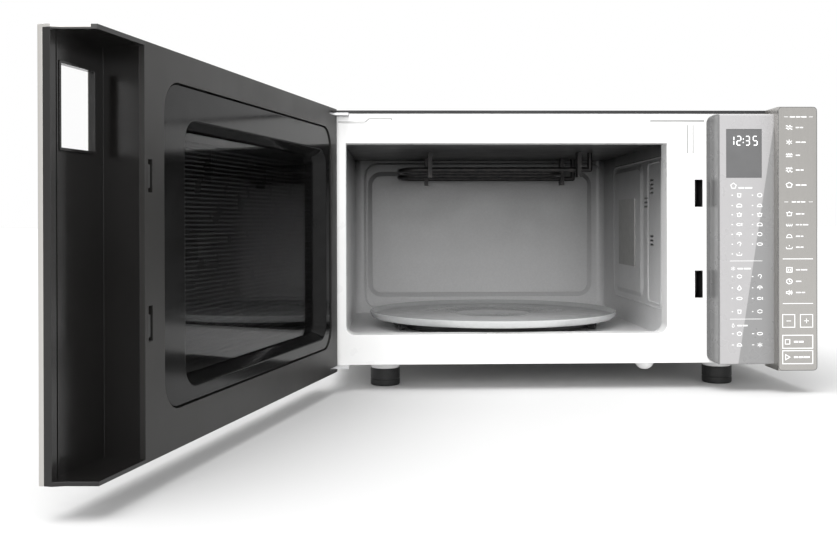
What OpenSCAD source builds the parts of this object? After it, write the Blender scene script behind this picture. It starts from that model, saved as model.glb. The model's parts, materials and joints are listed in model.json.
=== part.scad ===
// Free-standing microwave oven with grill, side-hinged door and touch strip.
// Units are millimetres, +Z up, the front faces -Y. The origin is at the
// centre of the cabinet's footprint, on the plane the feet stand on.

/* [Cabinet] */
// Overall width of the cabinet
cab_w = 539; // [480:1:600]
// Depth from the front frame to the rear panel
cab_d = 400; // [360:1:460]
// Height of the underside of the cabinet above the feet
cab_base = 29.4; // [20:0.1:40]
// Height of the top of the cabinet above the feet
cab_top = 313.4; // [290:0.1:340]
// Thickness of the sheet steel
sheet = 0.6; // [0.5:0.1:1.2]
// Diameter of a rubber foot
foot_d = 34; // [24:1:40]
// Height of a rubber foot
foot_h = 20; // [14:1:24]

/* [Cavity] */
// Distance from the left side of the cabinet to the mouth of the cavity
mouth_in = 23.4; // [18:0.1:30]
// Width of the mouth
mouth_w = 361; // [320:1:380]
// Height of the lower edge of the mouth above the feet
mouth_z = 62.8; // [58:0.1:70]
// Height of the mouth
mouth_h = 214; // [190:1:220]
// Depth of the throat folded back from the front frame
throat = 23; // [15:1:30]
// Depth of the cavity behind the front frame
cavity_d = 335; // [300:1:345]
// Height of the cavity floor above the feet
floor_z = 57; // [54:0.5:60]

/* [Door] */
// Angle that the door stands open at rest
door_open = 104.9; // [0:0.1:110]
// Thickness of the door
door_t = 37; // [30:1:40]
// Gap between the closed door and the front frame
door_gap = 1; // [0.8:0.1:2]
// Distance of the hinge axis from the left side of the cabinet
hinge_in = 5.3; // [5:0.1:8]
// Distance of the hinge axis in front of the front frame
hinge_out = 9.6; // [9:0.1:12]
// Radius of a hinge pin
pin_r = 2.5; // [2:0.1:3]
// Radial clearance of a pin in its bore
run_gap = 0.06; // [0.02:0.01:0.1]
// Length of the door from the cabinet's left side to its free end
door_w = 494.9; // [440:0.1:520]
// Distance from the cabinet's left side to the side pocket in the door
pocket_in = 428.1; // [400:0.1:450]
// Spacing of the holes in the door screen
screen_pitch = 12; // [6:1:20]

/* [Panel] */
// How far the control panel stands out of the front frame
panel_out = 26; // [20:1:28]
// Distance from the cabinet's left side to the foot of the control panel
panel_in = 429.3; // [410:0.1:450]
// Width of the touch strip
strip_w = 43; // [35:0.1:50]
// Height of the underside of the touch strip and the door above the feet
skirt_z = 23.5; // [20:0.1:28]

/* [Turntable] */
// Diameter of the turntable plate
plate_d = 315; // [270:1:325]
// Radius of a roller wheel
wheel_r = 4.95; // [4:0.05:7]
// Radius of the circle the wheels run on
wheel_track = 134; // [100:1:140]

/* [Hidden] */
$fn = 96;
xl = -cab_w / 2;
xr = cab_w / 2;
yf = -cab_d / 2;
yb = cab_d / 2;
zb = cab_base;
zt = cab_top;
mx0 = xl + mouth_in;
mx1 = mx0 + mouth_w;
mz0 = mouth_z;
mz1 = mouth_z + mouth_h;
cx = (mx0 + mx1) / 2;
cy = yf + cavity_d / 2;
yback = yf + cavity_d;
// The liner stands 1 mm outside the mouth
lx0 = mx0 - 1;
lx1 = mx1 + 1;
lz1 = mz1 + 1;
// Hinge axis
hx = xl + hinge_in;
hy = yf - hinge_out;
// Door planes, closed
di = yf - door_gap;
do = di - door_t;
dx1 = xl + door_w;
px = xl + pocket_in;
// Panel and strip
bx = xl + panel_in;
sx = xr - strip_w;
// Underside of the touch strip
strip_z = skirt_z + 1.8;
pf = yf - panel_out;
// Thickness of the cap on the door's top edge
cap_t = 2;
// Plate heights
axle_z = floor_z + wheel_r + 0.05;
plate_z = floor_z + 2 * wheel_r + 0.1;
// Latch slot heights in the front frame
slot_z = [102.5, 205];
slot_x0 = 146.5;

white = [0.93, 0.93, 0.92];
black = [0.05, 0.05, 0.06];
coal = [0.2, 0.2, 0.21];
silver = [0.72, 0.71, 0.69];
steel = [0.62, 0.62, 0.62];
dark = [0.28, 0.27, 0.27];
copper = [0.72, 0.42, 0.25];
green = [0.1, 0.35, 0.2];
cream = [0.85, 0.8, 0.68];

// A block between two corners
module block(a, b) {
    translate(a)
        cube(b - a);
}

// A flat shape drawn in X and Z, standing between two Y planes
module upright(y0, y1) {
    translate([0, y1, 0])
        rotate([90, 0, 0])
            linear_extrude(y1 - y0)
                children();
}

// A flat shape drawn in Y and Z, standing between two X planes
module sideways(x0, x1) {
    translate([x0, 0, 0])
        rotate([90, 0, 90])
            linear_extrude(x1 - x0)
                children();
}

// A rectangle with round corners, given by its low and high corners
module round_rect(x0, z0, x1, z1, r) {
    translate([x0 + r, z0])
        square([x1 - x0 - 2 * r, z1 - z0]);
    translate([x0, z0 + r])
        square([x1 - x0, z1 - z0 - 2 * r]);
    for (x = [x0 + r, x1 - r])
        for (z = [z0 + r, z1 - r])
            translate([x, z])
                circle(r);
}

// The mouth's outline, round below and nearly square above
module mouth(g) {
    round_rect(mx0 - g, mz0 - g, mx1 + g, mz1 + g, 10 + g);
    translate([mx0 - g, (mz0 + mz1) / 2])
        square([mouth_w + 2 * g, mouth_h / 2 + g]);
}

// Turns what is drawn for the closed door to its open rest angle
module on_door() {
    translate([hx, hy, 0])
        rotate([0, 0, -door_open])
            translate([-hx, -hy, 0])
                children();
}

// ---- Cabinet ----

module front_frame() {
    color(white)
        difference() {
            union() {
                block([xl + sheet, yf, zb], [xr - sheet, yf + 1, zt - sheet]);
                // folded edges
                block([xl + sheet, yf, zb + 1 + sheet], [xl + sheet + 1, yf + 12, zt - sheet]);
                block([xr - sheet - 1, yf, zb + 1 + sheet], [xr - sheet, yf + 12, zt - sheet]);
                block([xl + sheet, yf, zt - sheet - 1], [xr - sheet, yf + 12, zt - sheet]);
                block([xl + sheet, yf, zb], [xr - sheet, yf + 12, zb + 1]);
                upright(yf, yf + throat)
                    mouth(sheet);
                // pressed ribs
                block([xl + 14.5, yf - 0.5, 298.9], [xl + 47, yf, 300.1]);
                block([xl + 49, yf - 0.5, 302.9], [xl + 74, yf, 304.1]);
                block([96, yf - 0.5, 301.4], [157, yf, 302.6]);
                block([138.8, yf - 0.5, 265.6], [140, yf, 297]);
                block([143, yf - 0.5, 265.6], [144.2, yf, 297]);
            }
            upright(yf - 1, yf + throat + 1)
                mouth(0);
            for (z = slot_z)
                block([slot_x0, yf - 1, z], [slot_x0 + 9, yf + 2, z + 30.7]);
            // slit for the upper hinge plate
            block([hx - 3.2, yf - 1, 306.8], [hx + 21.7, yf + 2, 309.6]);
        }
}

// Plan of the cavity, round at the rear corners
module cavity_plan(g) {
    round_rect(lx0 - g, yf + 60, lx1 + g, yback + g, 11 + g);
    translate([lx0 - g, yf + throat - 1])
        square([lx1 - lx0 + 2 * g, 150]);
}

module cavity_liner() {
    color(steel)
        difference() {
            union() {
                difference() {
                    translate([0, 0, floor_z - sheet])
                        linear_extrude(lz1 - floor_z + 2 * sheet)
                            cavity_plan(sheet);
                    difference() {
                        translate([0, 0, floor_z])
                            linear_extrude(lz1 - floor_z)
                                cavity_plan(0);
                        // raised panel in the rear wall
                        upright(yback - 3, yback + 1)
                            round_rect(cx - 157.5, 86, cx + 157.5, 256, 14);
                        // raised panel in the right wall
                        sideways(lx1 - 2.5, lx1 + 1)
                            round_rect(-88, 100, 52, 254, 10);
                    }
                    // hollow behind the raised panels
                    upright(yback - 3 + sheet, yback + 3)
                        round_rect(
                            cx - 157.5 + sheet, 86 + sheet,
                            cx + 157.5 - sheet, 256 - sheet,
                            14 - sheet
                        );
                    sideways(lx1 - 2.5 + sheet, lx1 + 3)
                        round_rect(-88 + sheet, 100 + sheet, 52 - sheet, 254 - sheet, 10 - sheet);
                    // open front
                    block([lx0, yf + throat - 2, mz0 - sheet], [lx1, yf + throat, lz1]);
                }
                // step up to the throat
                block([lx0, yf + throat - 1, floor_z], [lx1, yf + throat, mz0 - sheet]);
            }
            // hole for the drive
            translate([cx, cy, floor_z - 5])
                cylinder(h = 10, r = 9);
            // port to the waveguide
            block([lx1 - 5, -45, 150], [lx1 + 3, 5, 200]);
            // air slits in the right wall
            for (z = [160, 165, 170, 222, 227, 232, 237])
                block([lx1 - 1, -138, z], [lx1 + 2, -124, z + 2]);
            for (z = [206, 211, 216])
                block([lx1 - 1, -112, z], [lx1 + 2, -98, z + 2]);
            // holes for the ends of the grill element
            for (y = [-30, 90])
                translate([cx + 128, y, lz1 - 2])
                    cylinder(h = 6, r = 4.5);
        }
}

module cabinet_cover() {
    color(black)
        difference() {
            block([xl, yf - 0.5, zb], [xr, yb - sheet, zt]);
            block([xl + sheet, yf - 2, zb - 1], [xr - sheet, yb + 1, zt - sheet]);
            // the front edge is cut back behind the touch strip
            block([sx - 0.2, yf - 2, zb - 1], [xr + 1, yf, zt + 1]);
            // air slots in the sides
            for (i = [0:11])
                block([xr - 2, 40 + i * 10, 90], [xr + 1, 44 + i * 10, 130]);
            for (i = [0:9])
                block([xl - 1, 60 + i * 10, 60], [xl + 2, 64 + i * 10, 90]);
        }
    // lip turned down over the front frame
    color(black)
        block([xl + sheet, yf - 0.5, 309.9], [sx - 0.2, yf, zt - sheet]);
}

module rear_panel() {
    color(steel)
        difference() {
            block([xl, yb - sheet, zb], [xr, yb, zt]);
            // air slots behind the fan
            for (i = [-5:5])
                block([158, yb - 2, 212 + i * 8], [222, yb + 1, 216 + i * 8]);
            for (i = [0:13])
                block([-220 + i * 12, yb - 2, 262], [-214 + i * 12, yb + 1, 292]);
            translate([238, yb + 1, 62])
                rotate([90, 0, 0])
                    cylinder(h = 4, r = 8);
            for (x = [xl + 9, 0, xr - 9])
                for (z = [zb + 9, zt - 9])
                    translate([x, yb + 1, z])
                        rotate([90, 0, 0])
                            cylinder(h = 4, r = 1.6);
        }
}

module base_plate() {
    color(white)
        difference() {
            union() {
                block([xl + sheet, yf + 1, zb + 1], [xr - sheet, yb - sheet, zb + 1 + sheet]);
                for (x = [-203, 187])
                    for (y = [yf + 48, yb - 48])
                        translate([x, y, foot_h])
                            cylinder(h = zb + 1 - foot_h, r1 = foot_d / 2 - 1, r2 = foot_d / 2 + 4);
                // pressed dimple near the front edge
                translate([95, yf + 24, zb + 1])
                    sphere(11.5);
            }
            block([xl + 2, yf + 2, zb + 1 + sheet], [xr - 2, yb - 2, zb + 20]);
            for (x = [-203, 187])
                for (y = [yf + 48, yb - 48])
                    translate([x, y, foot_h + sheet])
                        cylinder(h = zb + 2 - foot_h, r1 = foot_d / 2 - 2, r2 = foot_d / 2 + 3);
            // air slots
            for (i = [0:9])
                block([140 + i * 11, -60, zb - 1], [145 + i * 11, -20, zb + 3]);
        }
}

module feet() {
    color(black)
        for (x = [-203, 187])
            for (y = [yf + 48, yb - 48])
                translate([x, y, 0])
                    rotate_extrude()
                        polygon([[6, 0], [foot_d / 2 - 1.5, 0], [foot_d / 2, 1.5], [foot_d / 2, foot_h - 1],
                            [foot_d / 2 - 1, foot_h], [0, foot_h], [0, 5], [6, 5]]);
}

module hinge_top() {
    color(steel)
        union() {
            block([hx - 3, hy - 4, 307], [hx + 21.5, yf + 3.2, 309.4]);
            block([hx - 3, yf + 1, 281], [hx + 21.5, yf + 3.2, 309.4]);
            translate([hx, hy, 307])
                cylinder(h = 2.4, r = 5);
            translate([hx, hy, 295])
                cylinder(h = 13, r = pin_r);
        }
}

module hinge_bottom() {
    color(steel)
        union() {
            block([hx - 3, hy - 4, zb - 2.4], [hx + 21.5, yf + 26, zb]);
            translate([hx, hy, zb - 2.4])
                cylinder(h = 2.4, r = 5);
            translate([hx, hy, zb - 1])
                cylinder(h = 13, r = pin_r);
        }
}

module hinge_screws() {
    color(steel)
        for (x = [hx + 3, hx + 15])
            translate([x, yf + 19, 0]) {
                translate([0, 0, zb - 4])
                    cylinder(h = 1.6, r = 3.5);
            }
    color(steel)
        for (x = [hx + 3, hx + 15])
            translate([x, yf + 3.2, 293])
                rotate([-90, 0, 0])
                    cylinder(h = 1.8, r = 3.5);
}

module case_screws() {
    color(steel)
        for (x = [xl + 9, 0, xr - 9])
            for (z = [zb + 9, zt - 9])
                translate([x, yb, z])
                    rotate([90, 0, 0])
                        union() {
                            translate([0, 0, -2])
                                cylinder(h = 2, r = 3.6);
                            cylinder(h = 7, r = 1.5);
                        }
}

// ---- Heating parts ----

module waveguide_cover() {
    color(cream)
        block([lx1 - 3.7, -62, 132], [lx1 - 2.5, 22, 218]);
}

// A bar of the grill element along X
module grill_bar(x0, x1, y) {
    translate([x0, y, 0])
        rotate([0, 90, 0])
            cylinder(h = x1 - x0, r = 3.2);
}

// A half turn joining two bars, opening to the left or right
module grill_bend(x, y, side) {
    translate([x, y, 0])
        rotate([0, 0, side * 90 - 90])
            rotate_extrude(angle = 180)
                translate([20, 0])
                    circle(3.2);
}

module grill_element() {
    color(dark)
        union() {
            translate([cx, 0, 0])
                translate([0, 10, 254])
                    rotate([-3.2, 0, 0]) {
                        grill_bar(-98, 128, -40);
                        grill_bar(-98, 78, 0);
                        grill_bar(-98, 78, 40);
                        grill_bar(-98, 128, 80);
                        grill_bend(-98, -20, 2);
                        grill_bend(-98, 60, 2);
                        grill_bend(78, 20, 0);
                    }
            for (p = [[-30, 256.2], [90, 249.5]])
                translate([cx + 128, p[0], p[1]])
                    union() {
                        cylinder(h = 290 - p[1], r = 3.2);
                        sphere(3.2);
                    }
        }
}

module grill_clips() {
    color(steel)
        for (x = [-80, 112])
            translate([cx + x, 0, 0])
                difference() {
                    union() {
                        block([-2.5, -44, 246], [2.5, -28, lz1]);
                        block([-2.5, 82, 240], [2.5, 98, lz1]);
                    }
                    for (p = [[-30, 256.2], [90, 249.5]])
                        translate([-4, p[0], p[1]])
                            rotate([0, 90, 0])
                                cylinder(h = 8, r = 3.4);
                }
}

module grill_insulators() {
    color(cream)
        for (y = [-30, 90])
            translate([cx + 128, y, lz1 + sheet])
                difference() {
                    cylinder(h = 9, r = 8);
                    translate([0, 0, -1])
                        cylinder(h = 12, r = 3.2);
                }
}

module waveguide() {
    color(steel)
        difference() {
            block([lx1 + sheet, -62, 118], [lx1 + 37, 22, 246]);
            block([lx1 - 1, -61, 119], [lx1 + 36, 21, 245]);
            translate([lx1 + 30, -20, 182])
                rotate([0, 90, 0])
                    cylinder(h = 10, r = 10);
        }
}

module magnetron() {
    color(steel)
        translate([lx1 + 37, -20, 182])
            union() {
                block([0, -42, -34], [2, 42, 34]);
                block([56, -42, -34], [58, 42, 34]);
                block([2, -42, -34], [56, -40, 34]);
                block([2, 40, -34], [56, 42, 34]);
                rotate([0, 90, 0])
                    cylinder(h = 56, r = 19);
                for (i = [0:6])
                    block([7 + i * 7, -40, -30], [7.8 + i * 7, 40, 30]);
                // antenna reaching into the waveguide
                translate([-24, 0, 0])
                    rotate([0, 90, 0])
                        cylinder(h = 26, r = 7.5);
                // filter box
                block([58, -22, -20], [84, 22, 20]);
            }
}

module transformer_core() {
    color(steel)
        translate([lx1 + 38, -90, zb + 1 + sheet])
            difference() {
                block([0, 0, 0], [96, 56, 78]);
                block([18, -1, 18], [38, 57, 60]);
                block([58, -1, 18], [78, 57, 60]);
            }
}

module transformer_coils() {
    color(copper)
        translate([lx1 + 38, -90, zb + 1 + sheet])
            difference() {
                block([19, -14, 19], [77, 70, 59]);
                block([38, 0, 18], [58, 56, 60]);
            }
}

module capacitor() {
    color(steel)
        translate([xr - 30, 70, 60])
            rotate([-90, 0, 0])
                union() {
                    cylinder(h = 90, r = 18);
                    for (x = [-7, 7])
                        translate([x - 2, -0.4, -9])
                            cube([4, 0.8, 9]);
                }
}

module capacitor_clamp() {
    color(steel)
        union() {
            translate([xr - 30, 105, 60])
                rotate([-90, 0, 0])
                    difference() {
                        cylinder(h = 16, r = 19.2);
                        translate([0, 0, -1])
                            cylinder(h = 18, r = 18);
                    }
            block([xr - 32, 105, zb + 1 + sheet], [xr - 28, 121, 41.2]);
            block([xr - 46, 105, zb + 1 + sheet], [xr - 14, 121, zb + 2.5 + sheet]);
        }
}

module fan_shroud() {
    color(black)
        difference() {
            block([144, 158, 204 - 52], [236, yb - sheet, 300]);
            block([146, 160, 154], [234, yb, 298]);
            translate([190, 150, 236])
                rotate([-90, 0, 0])
                    cylinder(h = 20, r = 43);
        }
    // carrier arms for the motor
    color(black)
        for (x = [148, 226])
            block([x, 130, 233], [x + 6, 158, 239]);
}

module fan_motor() {
    color(steel)
        difference() {
            union() {
                block([154, 130, 218], [226, 142, 254]);
                translate([190, 126, 236])
                    rotate([-90, 0, 0])
                        cylinder(h = 22, r = 14);
            }
            translate([190, 120, 236])
                rotate([-90, 0, 0])
                    cylinder(h = 40, r = 2 + run_gap);
        }
}

module fan_blade() {
    color(dark)
        translate([190, 0, 236])
            union() {
                translate([0, 134, 0])
                    rotate([-90, 0, 0])
                        cylinder(h = 46, r = 2);
                translate([0, 164, 0])
                    rotate([-90, 0, 0])
                        cylinder(h = 18, r = 10);
                for (a = [0:72:288])
                    rotate([0, a, 0])
                        translate([0, 173, 8])
                            rotate([0, 0, 32])
                                block([-13, -0.8, 0], [13, 0.8, 31]);
            }
}

module lamp_holder() {
    color(white)
        difference() {
            block([lx1 + sheet, -146, 214], [lx1 + 40, -92, 246]);
            block([lx1 - 1, -144, 216], [lx1 + 38, -94, 244]);
            translate([lx1 + 30, -119, 230])
                rotate([0, 90, 0])
                    cylinder(h = 12, r = 7);
        }
}

module oven_lamp() {
    color(cream)
        translate([lx1 + 8, -119, 230])
            rotate([0, 90, 0])
                union() {
                    translate([0, 0, 8])
                        sphere(9);
                    cylinder(h = 40, r = 6.9);
                }
}

module thermal_cutout() {
    color(black)
        translate([lx1 + sheet, 90, 200])
            rotate([0, 90, 0])
                union() {
                    cylinder(h = 8, r = 8.5);
                    translate([0, 0, 8])
                        block([-6, -0.4, 0], [-2, 0.4, 8]);
                    translate([0, 0, 8])
                        block([2, -0.4, 0], [6, 0.4, 8]);
                }
}

module mains_inlet() {
    color(black)
        translate([238, 0, 62])
            rotate([-90, 0, 0])
                difference() {
                    union() {
                        translate([0, 0, yb - 12])
                            cylinder(h = 22, r = 7.9);
                        translate([0, 0, yb])
                            cylinder(h = 3, r = 11);
                        translate([0, 0, yb - 4 - sheet])
                            cylinder(h = 4, r = 11);
                    }
                    translate([0, 0, yb - 13])
                        cylinder(h = 30, r = 3.8);
                }
}

module filter_board() {
    color(green)
        block([150, 150, 70], [210, 151.6, 130]);
    color(dark)
        for (x = [156, 184])
            block([x, 140, 80], [x + 20, 150, 104]);
    // stand fixed to the base
    color(steel)
        block([170, 151.6, zb + 1 + sheet], [190, 153.2, 110]);
}

// ---- Turntable drive ----

module turntable_motor() {
    color(steel)
        difference() {
            union() {
                translate([cx, cy, floor_z - sheet - 17])
                    cylinder(h = 17, r = 24);
                block([cx - 34, cy - 5, floor_z - sheet - 2], [cx + 34, cy + 5, floor_z - sheet]);
            }
            translate([cx, cy, floor_z - sheet - 14])
                cylinder(h = 20, r = 3.5 + run_gap);
        }
}

module drive_coupling() {
    color(coal)
        translate([cx, cy, 0])
            union() {
                translate([0, 0, floor_z - 12])
                    cylinder(h = 14, r = 3.5);
                translate([0, 0, floor_z + 1])
                    cylinder(h = 8.4, r = 8);
                for (a = [0, 120, 240])
                    rotate([0, 0, a])
                        block([0, -3.5, floor_z + 3], [19, 3.5, floor_z + 9.4]);
            }
}

module turntable_plate() {
    color([0.75, 0.8, 0.8])
        translate([cx, cy, plate_z])
            union() {
                rotate_extrude()
                    polygon([[0, 0], [plate_d / 2 - 14, 0], [plate_d / 2 - 6, 2], [plate_d / 2, 7.6],
                        [plate_d / 2, 9], [plate_d / 2 - 2, 9], [plate_d / 2 - 8, 5], [plate_d / 2 - 15, 4],
                        [0, 4]]);
                // drive lugs between the coupling's arms
                for (a = [60, 180, 300])
                    rotate([0, 0, a])
                        translate([14, 0, -4])
                            cylinder(h = 5, r = 3);
            }
}

module roller_ring() {
    color(coal)
        translate([cx, cy, 0])
            union() {
                translate([0, 0, axle_z - 3])
                    difference() {
                        cylinder(h = 6, r = wheel_track - 6);
                        translate([0, 0, -1])
                            cylinder(h = 8, r = wheel_track - 14);
                    }
                for (a = [90, 210, 330])
                    rotate([0, 0, a])
                        translate([wheel_track - 8, 0, axle_z])
                            rotate([0, 90, 0])
                                cylinder(h = 13, r = 1.6);
            }
}

// A wheel of the roller ring, at an angle round the ring
module wheel(a) {
    color(dark)
        translate([cx, cy, axle_z])
            rotate([0, 0, a])
                translate([wheel_track - 4, 0, 0])
                    rotate([0, 90, 0])
                        difference() {
                            cylinder(h = 8, r = wheel_r);
                            translate([0, 0, -1])
                                cylinder(h = 10, r = 1.6 + run_gap);
                        }
}

module wheel_a() {
    wheel(90);
}

module wheel_b() {
    wheel(210);
}

module wheel_c() {
    wheel(330);
}

// ---- Latch behind the front frame ----

module latch_board() {
    color(cream)
        difference() {
            block([141, yf + 1, 95], [162, yf + 46, 246]);
            for (z = slot_z)
                block([slot_x0 - 0.5, yf, z - 2], [slot_x0 + 9.5, yf + 47, z + 36]);
            for (z = slot_z)
                translate([140, yf + 22, z + 34])
                    rotate([0, 90, 0])
                        cylinder(h = 30, r = 1.5 + run_gap);
        }
}

module door_switches() {
    color(coal)
        union() {
            for (z = slot_z)
                block([slot_x0 - 0.5, yf + 30, z - 2], [slot_x0 + 9.5, yf + 44, z + 22]);
            block([165.2, yf + 14, 150], [175, yf + 34, 178]);
            block([162, yf + 18, 160], [165.2, yf + 30, 168]);
        }
}

// A lever that the latch hook presses against its switch
module switch_lever(z) {
    color(white)
        union() {
            translate([142, yf + 22, z + 34])
                rotate([0, 90, 0])
                    cylinder(h = 19, r = 1.5);
            block([slot_x0 + 1, yf + 20.2, z + 4], [slot_x0 + 8, yf + 22.2, z + 34]);
        }
}

module switch_lever_upper() {
    switch_lever(slot_z[1]);
}

module switch_lever_lower() {
    switch_lever(slot_z[0]);
}

// ---- Control panel and touch strip ----

// Outline of the panel's outside, closed in three directions
module panel_form() {
    intersection() {
        translate([0, 0, 20])
            linear_extrude(300)
                polygon([
                    [bx, yf], [bx + 2.2, yf - 6], [bx + 5, pf + 2.2],
                    [bx + 6.6, pf], [sx, pf], [sx, yf]
                ]);
        sideways(bx - 1, sx)
            polygon([[yf, 30.2], [yf - 6, 30.4], [pf + 2, 30.8], [pf, 31.6], [pf, 305.4], [pf + 2, 306.8],
                [yf - 6, 307.6], [yf, 308.4]]);
        upright(pf - 1, yf)
            union() {
                round_rect(bx, 30.2, sx + 10, 308.4, 9);
            }
    }
}

module control_panel() {
    color(silver)
        difference() {
            panel_form();
            block([bx + 12, pf + 2.5, 40], [sx - 2, yf + 1, 296]);
            // window for the display
            block([173.3, pf - 1, 236.5], [213, pf + 3, 290.3]);
        }
}

module display_window() {
    color(dark)
        block([173.4, pf + 0.3, 236.6], [212.9, pf + 2.5, 290.2]);
}

module display_module() {
    color(green)
        block([173, pf + 2.5, 234], [214, pf + 9, 293]);
}

module control_board() {
    color(green)
        difference() {
            block([bx + 13, pf + 9, 44], [sx - 3, pf + 10.6, 294]);
            for (z = [60, 270])
                translate([bx + 20, pf + 8, z])
                    rotate([-90, 0, 0])
                        cylinder(h = 4, r = 1.6);
        }
    color(dark)
        union() {
            block([180, pf + 10.6, 60], [204, pf + 20, 84]);
            block([184, pf + 10.6, 110], [200, pf + 13, 126]);
            block([176, pf + 10.6, 170], [214, pf + 16, 178]);
        }
}

module strip_outline(g) {
    difference() {
        round_rect(sx - 20, strip_z + g, xr - g, zt - g, 5.5);
        translate([sx - 40, 0])
            square([40 + g, 400]);
    }
}

module strip_housing() {
    color(silver)
        difference() {
            upright(do + 3, yf)
                strip_outline(0);
            upright(do + 5, yf + 1)
                round_rect(sx + 2, strip_z + 2, xr - 2, zt - 2, 4);
        }
}

module touch_glass() {
    color(silver)
        upright(do, do + 3)
            strip_outline(0);
}

module touch_board() {
    color(green)
        union() {
            block([sx + 3, do + 5, skirt_z + 12], [xr - 3, do + 6.6, zt - 12]);
            for (i = [0:11])
                block([sx + 12, do + 6.6, 50 + i * 20], [sx + 22, do + 8.2, 58 + i * 20]);
        }
}

// ---- Door, drawn closed ----

// Room for a hinge plate in the door
module hinge_notch(z0, z1) {
    block([hx - 6, hy - 6.5, z0], [hx + 23.5, yf + 1, z1]);
}

module hinge_notches() {
    hinge_notch(306.3, 310.1);
    hinge_notch(26.3, 30.2);
}

// Plan of the door's top and bottom edges, slanted at the free end
module door_plan(x0, y0) {
    polygon([[x0, do], [dx1, do], [dx1, do + 9], [dx1 - 3.4, do + 16], [dx1 - 8, di], [x0, di], [x0, y0]]);
}

module door_trim() {
    on_door()
        color(silver)
            difference() {
                union() {
                    translate([0, 0, zt - cap_t])
                        linear_extrude(cap_t)
                            intersection() {
                                door_plan(xl, do + 1);
                                translate([xl, do])
                                    square([600, door_t - 4]);
                            }
                    block([xl, do, skirt_z], [xl + 1.2, di - 4, zt]);
                    block([dx1 - 1.2, do, skirt_z], [dx1, do + 3.5, zt]);
                }
                hinge_notches();
            }
}

module door_glass() {
    on_door()
        color(silver)
            block([xl + 1.2, do, skirt_z], [dx1 - 1.2, do + 3, zt - cap_t]);
}

module door_mask() {
    on_door()
        color(silver)
            difference() {
                block([xl + 1.2, do + 3, skirt_z], [dx1 - 1.2, do + 3.5, zt - cap_t]);
                block([173.8, do + 2, 236.8], [212.8, do + 4, 290.7]);
                upright(do + 2, do + 4)
                    round_rect(-206, 78, 84, 252, 10);
            }
}

module door_body() {
    on_door()
        color(coal)
            difference() {
                union() {
                    // top and bottom walls
                    translate([0, 0, zt - 3.2])
                        linear_extrude(3.2 - cap_t)
                            intersection() {
                                door_plan(xl + 1.2, do + 10);
                                translate([xl + 1.2, do + 3.5])
                                    square([600, door_t - 7.5]);
                            }
                    translate([0, 0, skirt_z])
                        linear_extrude(2.8)
                            intersection() {
                                door_plan(xl + 1.2, do + 10);
                                translate([xl + 1.2, do + 3.5])
                                    square([600, door_t - 7.5]);
                            }
                    // their inner edges beside the choke cover
                    for (z = [[zt - 3.2, zt], [skirt_z, skirt_z + 2.8]])
                        translate([0, 0, z[0]])
                            linear_extrude(z[1] - z[0])
                                intersection() {
                                    door_plan(px, do + 10);
                                    translate([px, di - 4])
                                        square([200, 4]);
                                }
                    // hinge side
                    block([xl + 1.2, do + 3.5, skirt_z], [xl + 4.2, di - 4, zt - cap_t]);
                    block([xl + 1.2, hy - 9, 290], [hx + 9, di - 4, 306.3]);
                    block([xl + 1.2, hy - 9, 30.2], [hx + 9, di - 4, 46]);
                    // side wall and back wall of the pocket
                    block([px - 3, do + 3.5, skirt_z], [px, di - 4, zt - cap_t]);
                    block([px - 3, do + 3.5, skirt_z], [219.5, do + 5.5, zt - cap_t]);
                    // raised edge round the display opening
                    upright(do + 3.5, do + 8.5)
                        round_rect(172.2, 235, 214.6, 292.5, 1.5);
                    // rim and rib at the free end
                    block([219.5, do + 3.5, skirt_z], [dx1, do + 9, zt - cap_t]);
                    block([215.4, do + 3.5, skirt_z], [216.8, do + 8, zt - cap_t]);
                    // guides for the latch bar
                    block([145, do + 3.5, 92], [px - 2, di - 4, 97]);
                    block([145, do + 3.5, 243], [px - 2, di - 4, 248]);
                }
                hinge_notches();
                block([173.8, do + 2, 236.8], [212.8, do + 9, 290.7]);
                translate([hx, hy, 285])
                    cylinder(h = 30, r = pin_r + run_gap);
                translate([hx, hy, 20])
                    cylinder(h = 30, r = pin_r + run_gap);
            }
}

module choke_cover() {
    on_door()
        color(dark)
            difference() {
                block([xl, di - 4, skirt_z], [px, di, zt]);
                upright(di - 5, di + 1)
                    round_rect(-245.8, 52.7, 130.8, 291.2, 22.8);
                block([148, di - 5, 106.7], [154, di + 1, 131.3]);
                block([148, di - 5, 209.6], [154, di + 1, 232.6]);
                // bevelled hinge-side corner
                translate([0, 0, skirt_z - 1])
                    linear_extrude(zt)
                        polygon([
                            [xl - 1, di - 3.8], [xl, di - 3.8], [xl + 3.8, di],
                            [xl + 3.8, di + 1], [xl - 1, di + 1]
                        ]);
                hinge_notches();
            }
}

module door_screen() {
    on_door()
        color(black)
            difference() {
                union() {
                    // flange behind the choke cover and raised face in its opening
                    block([-254, di - 4.8, 46], [143, di - 4, 299]);
                    upright(di - 4.2, di - 1.2)
                        round_rect(-245, 53.5, 130, 290.4, 22);
                    // well
                    upright(di - 15.8, di - 1.2)
                        round_rect(-232.8, 63.2, 97.8, 267.2, 18.8);
                }
                // hollow behind the raised face
                difference() {
                    upright(di - 5, di - 2)
                        round_rect(-244.2, 54.3, 129.2, 289.6, 21.2);
                    upright(di - 6, di - 1)
                        round_rect(-232.8, 63.2, 97.8, 267.2, 18.8);
                }
                upright(di - 15, di - 1)
                    round_rect(-232, 64, 97, 266.4, 18);
                for (i = [0:22])
                    for (j = [0:12])
                        translate([-200 + i * screen_pitch, di - 12, 90 + j * screen_pitch])
                            rotate([90, 0, 0])
                                cylinder(h = 6, r = 2.5);
            }
}

module inner_glass() {
    on_door()
        color(dark)
            upright(di - 15, di - 13.2)
                round_rect(-224, 72, 89, 258.4, 10);
}

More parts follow.
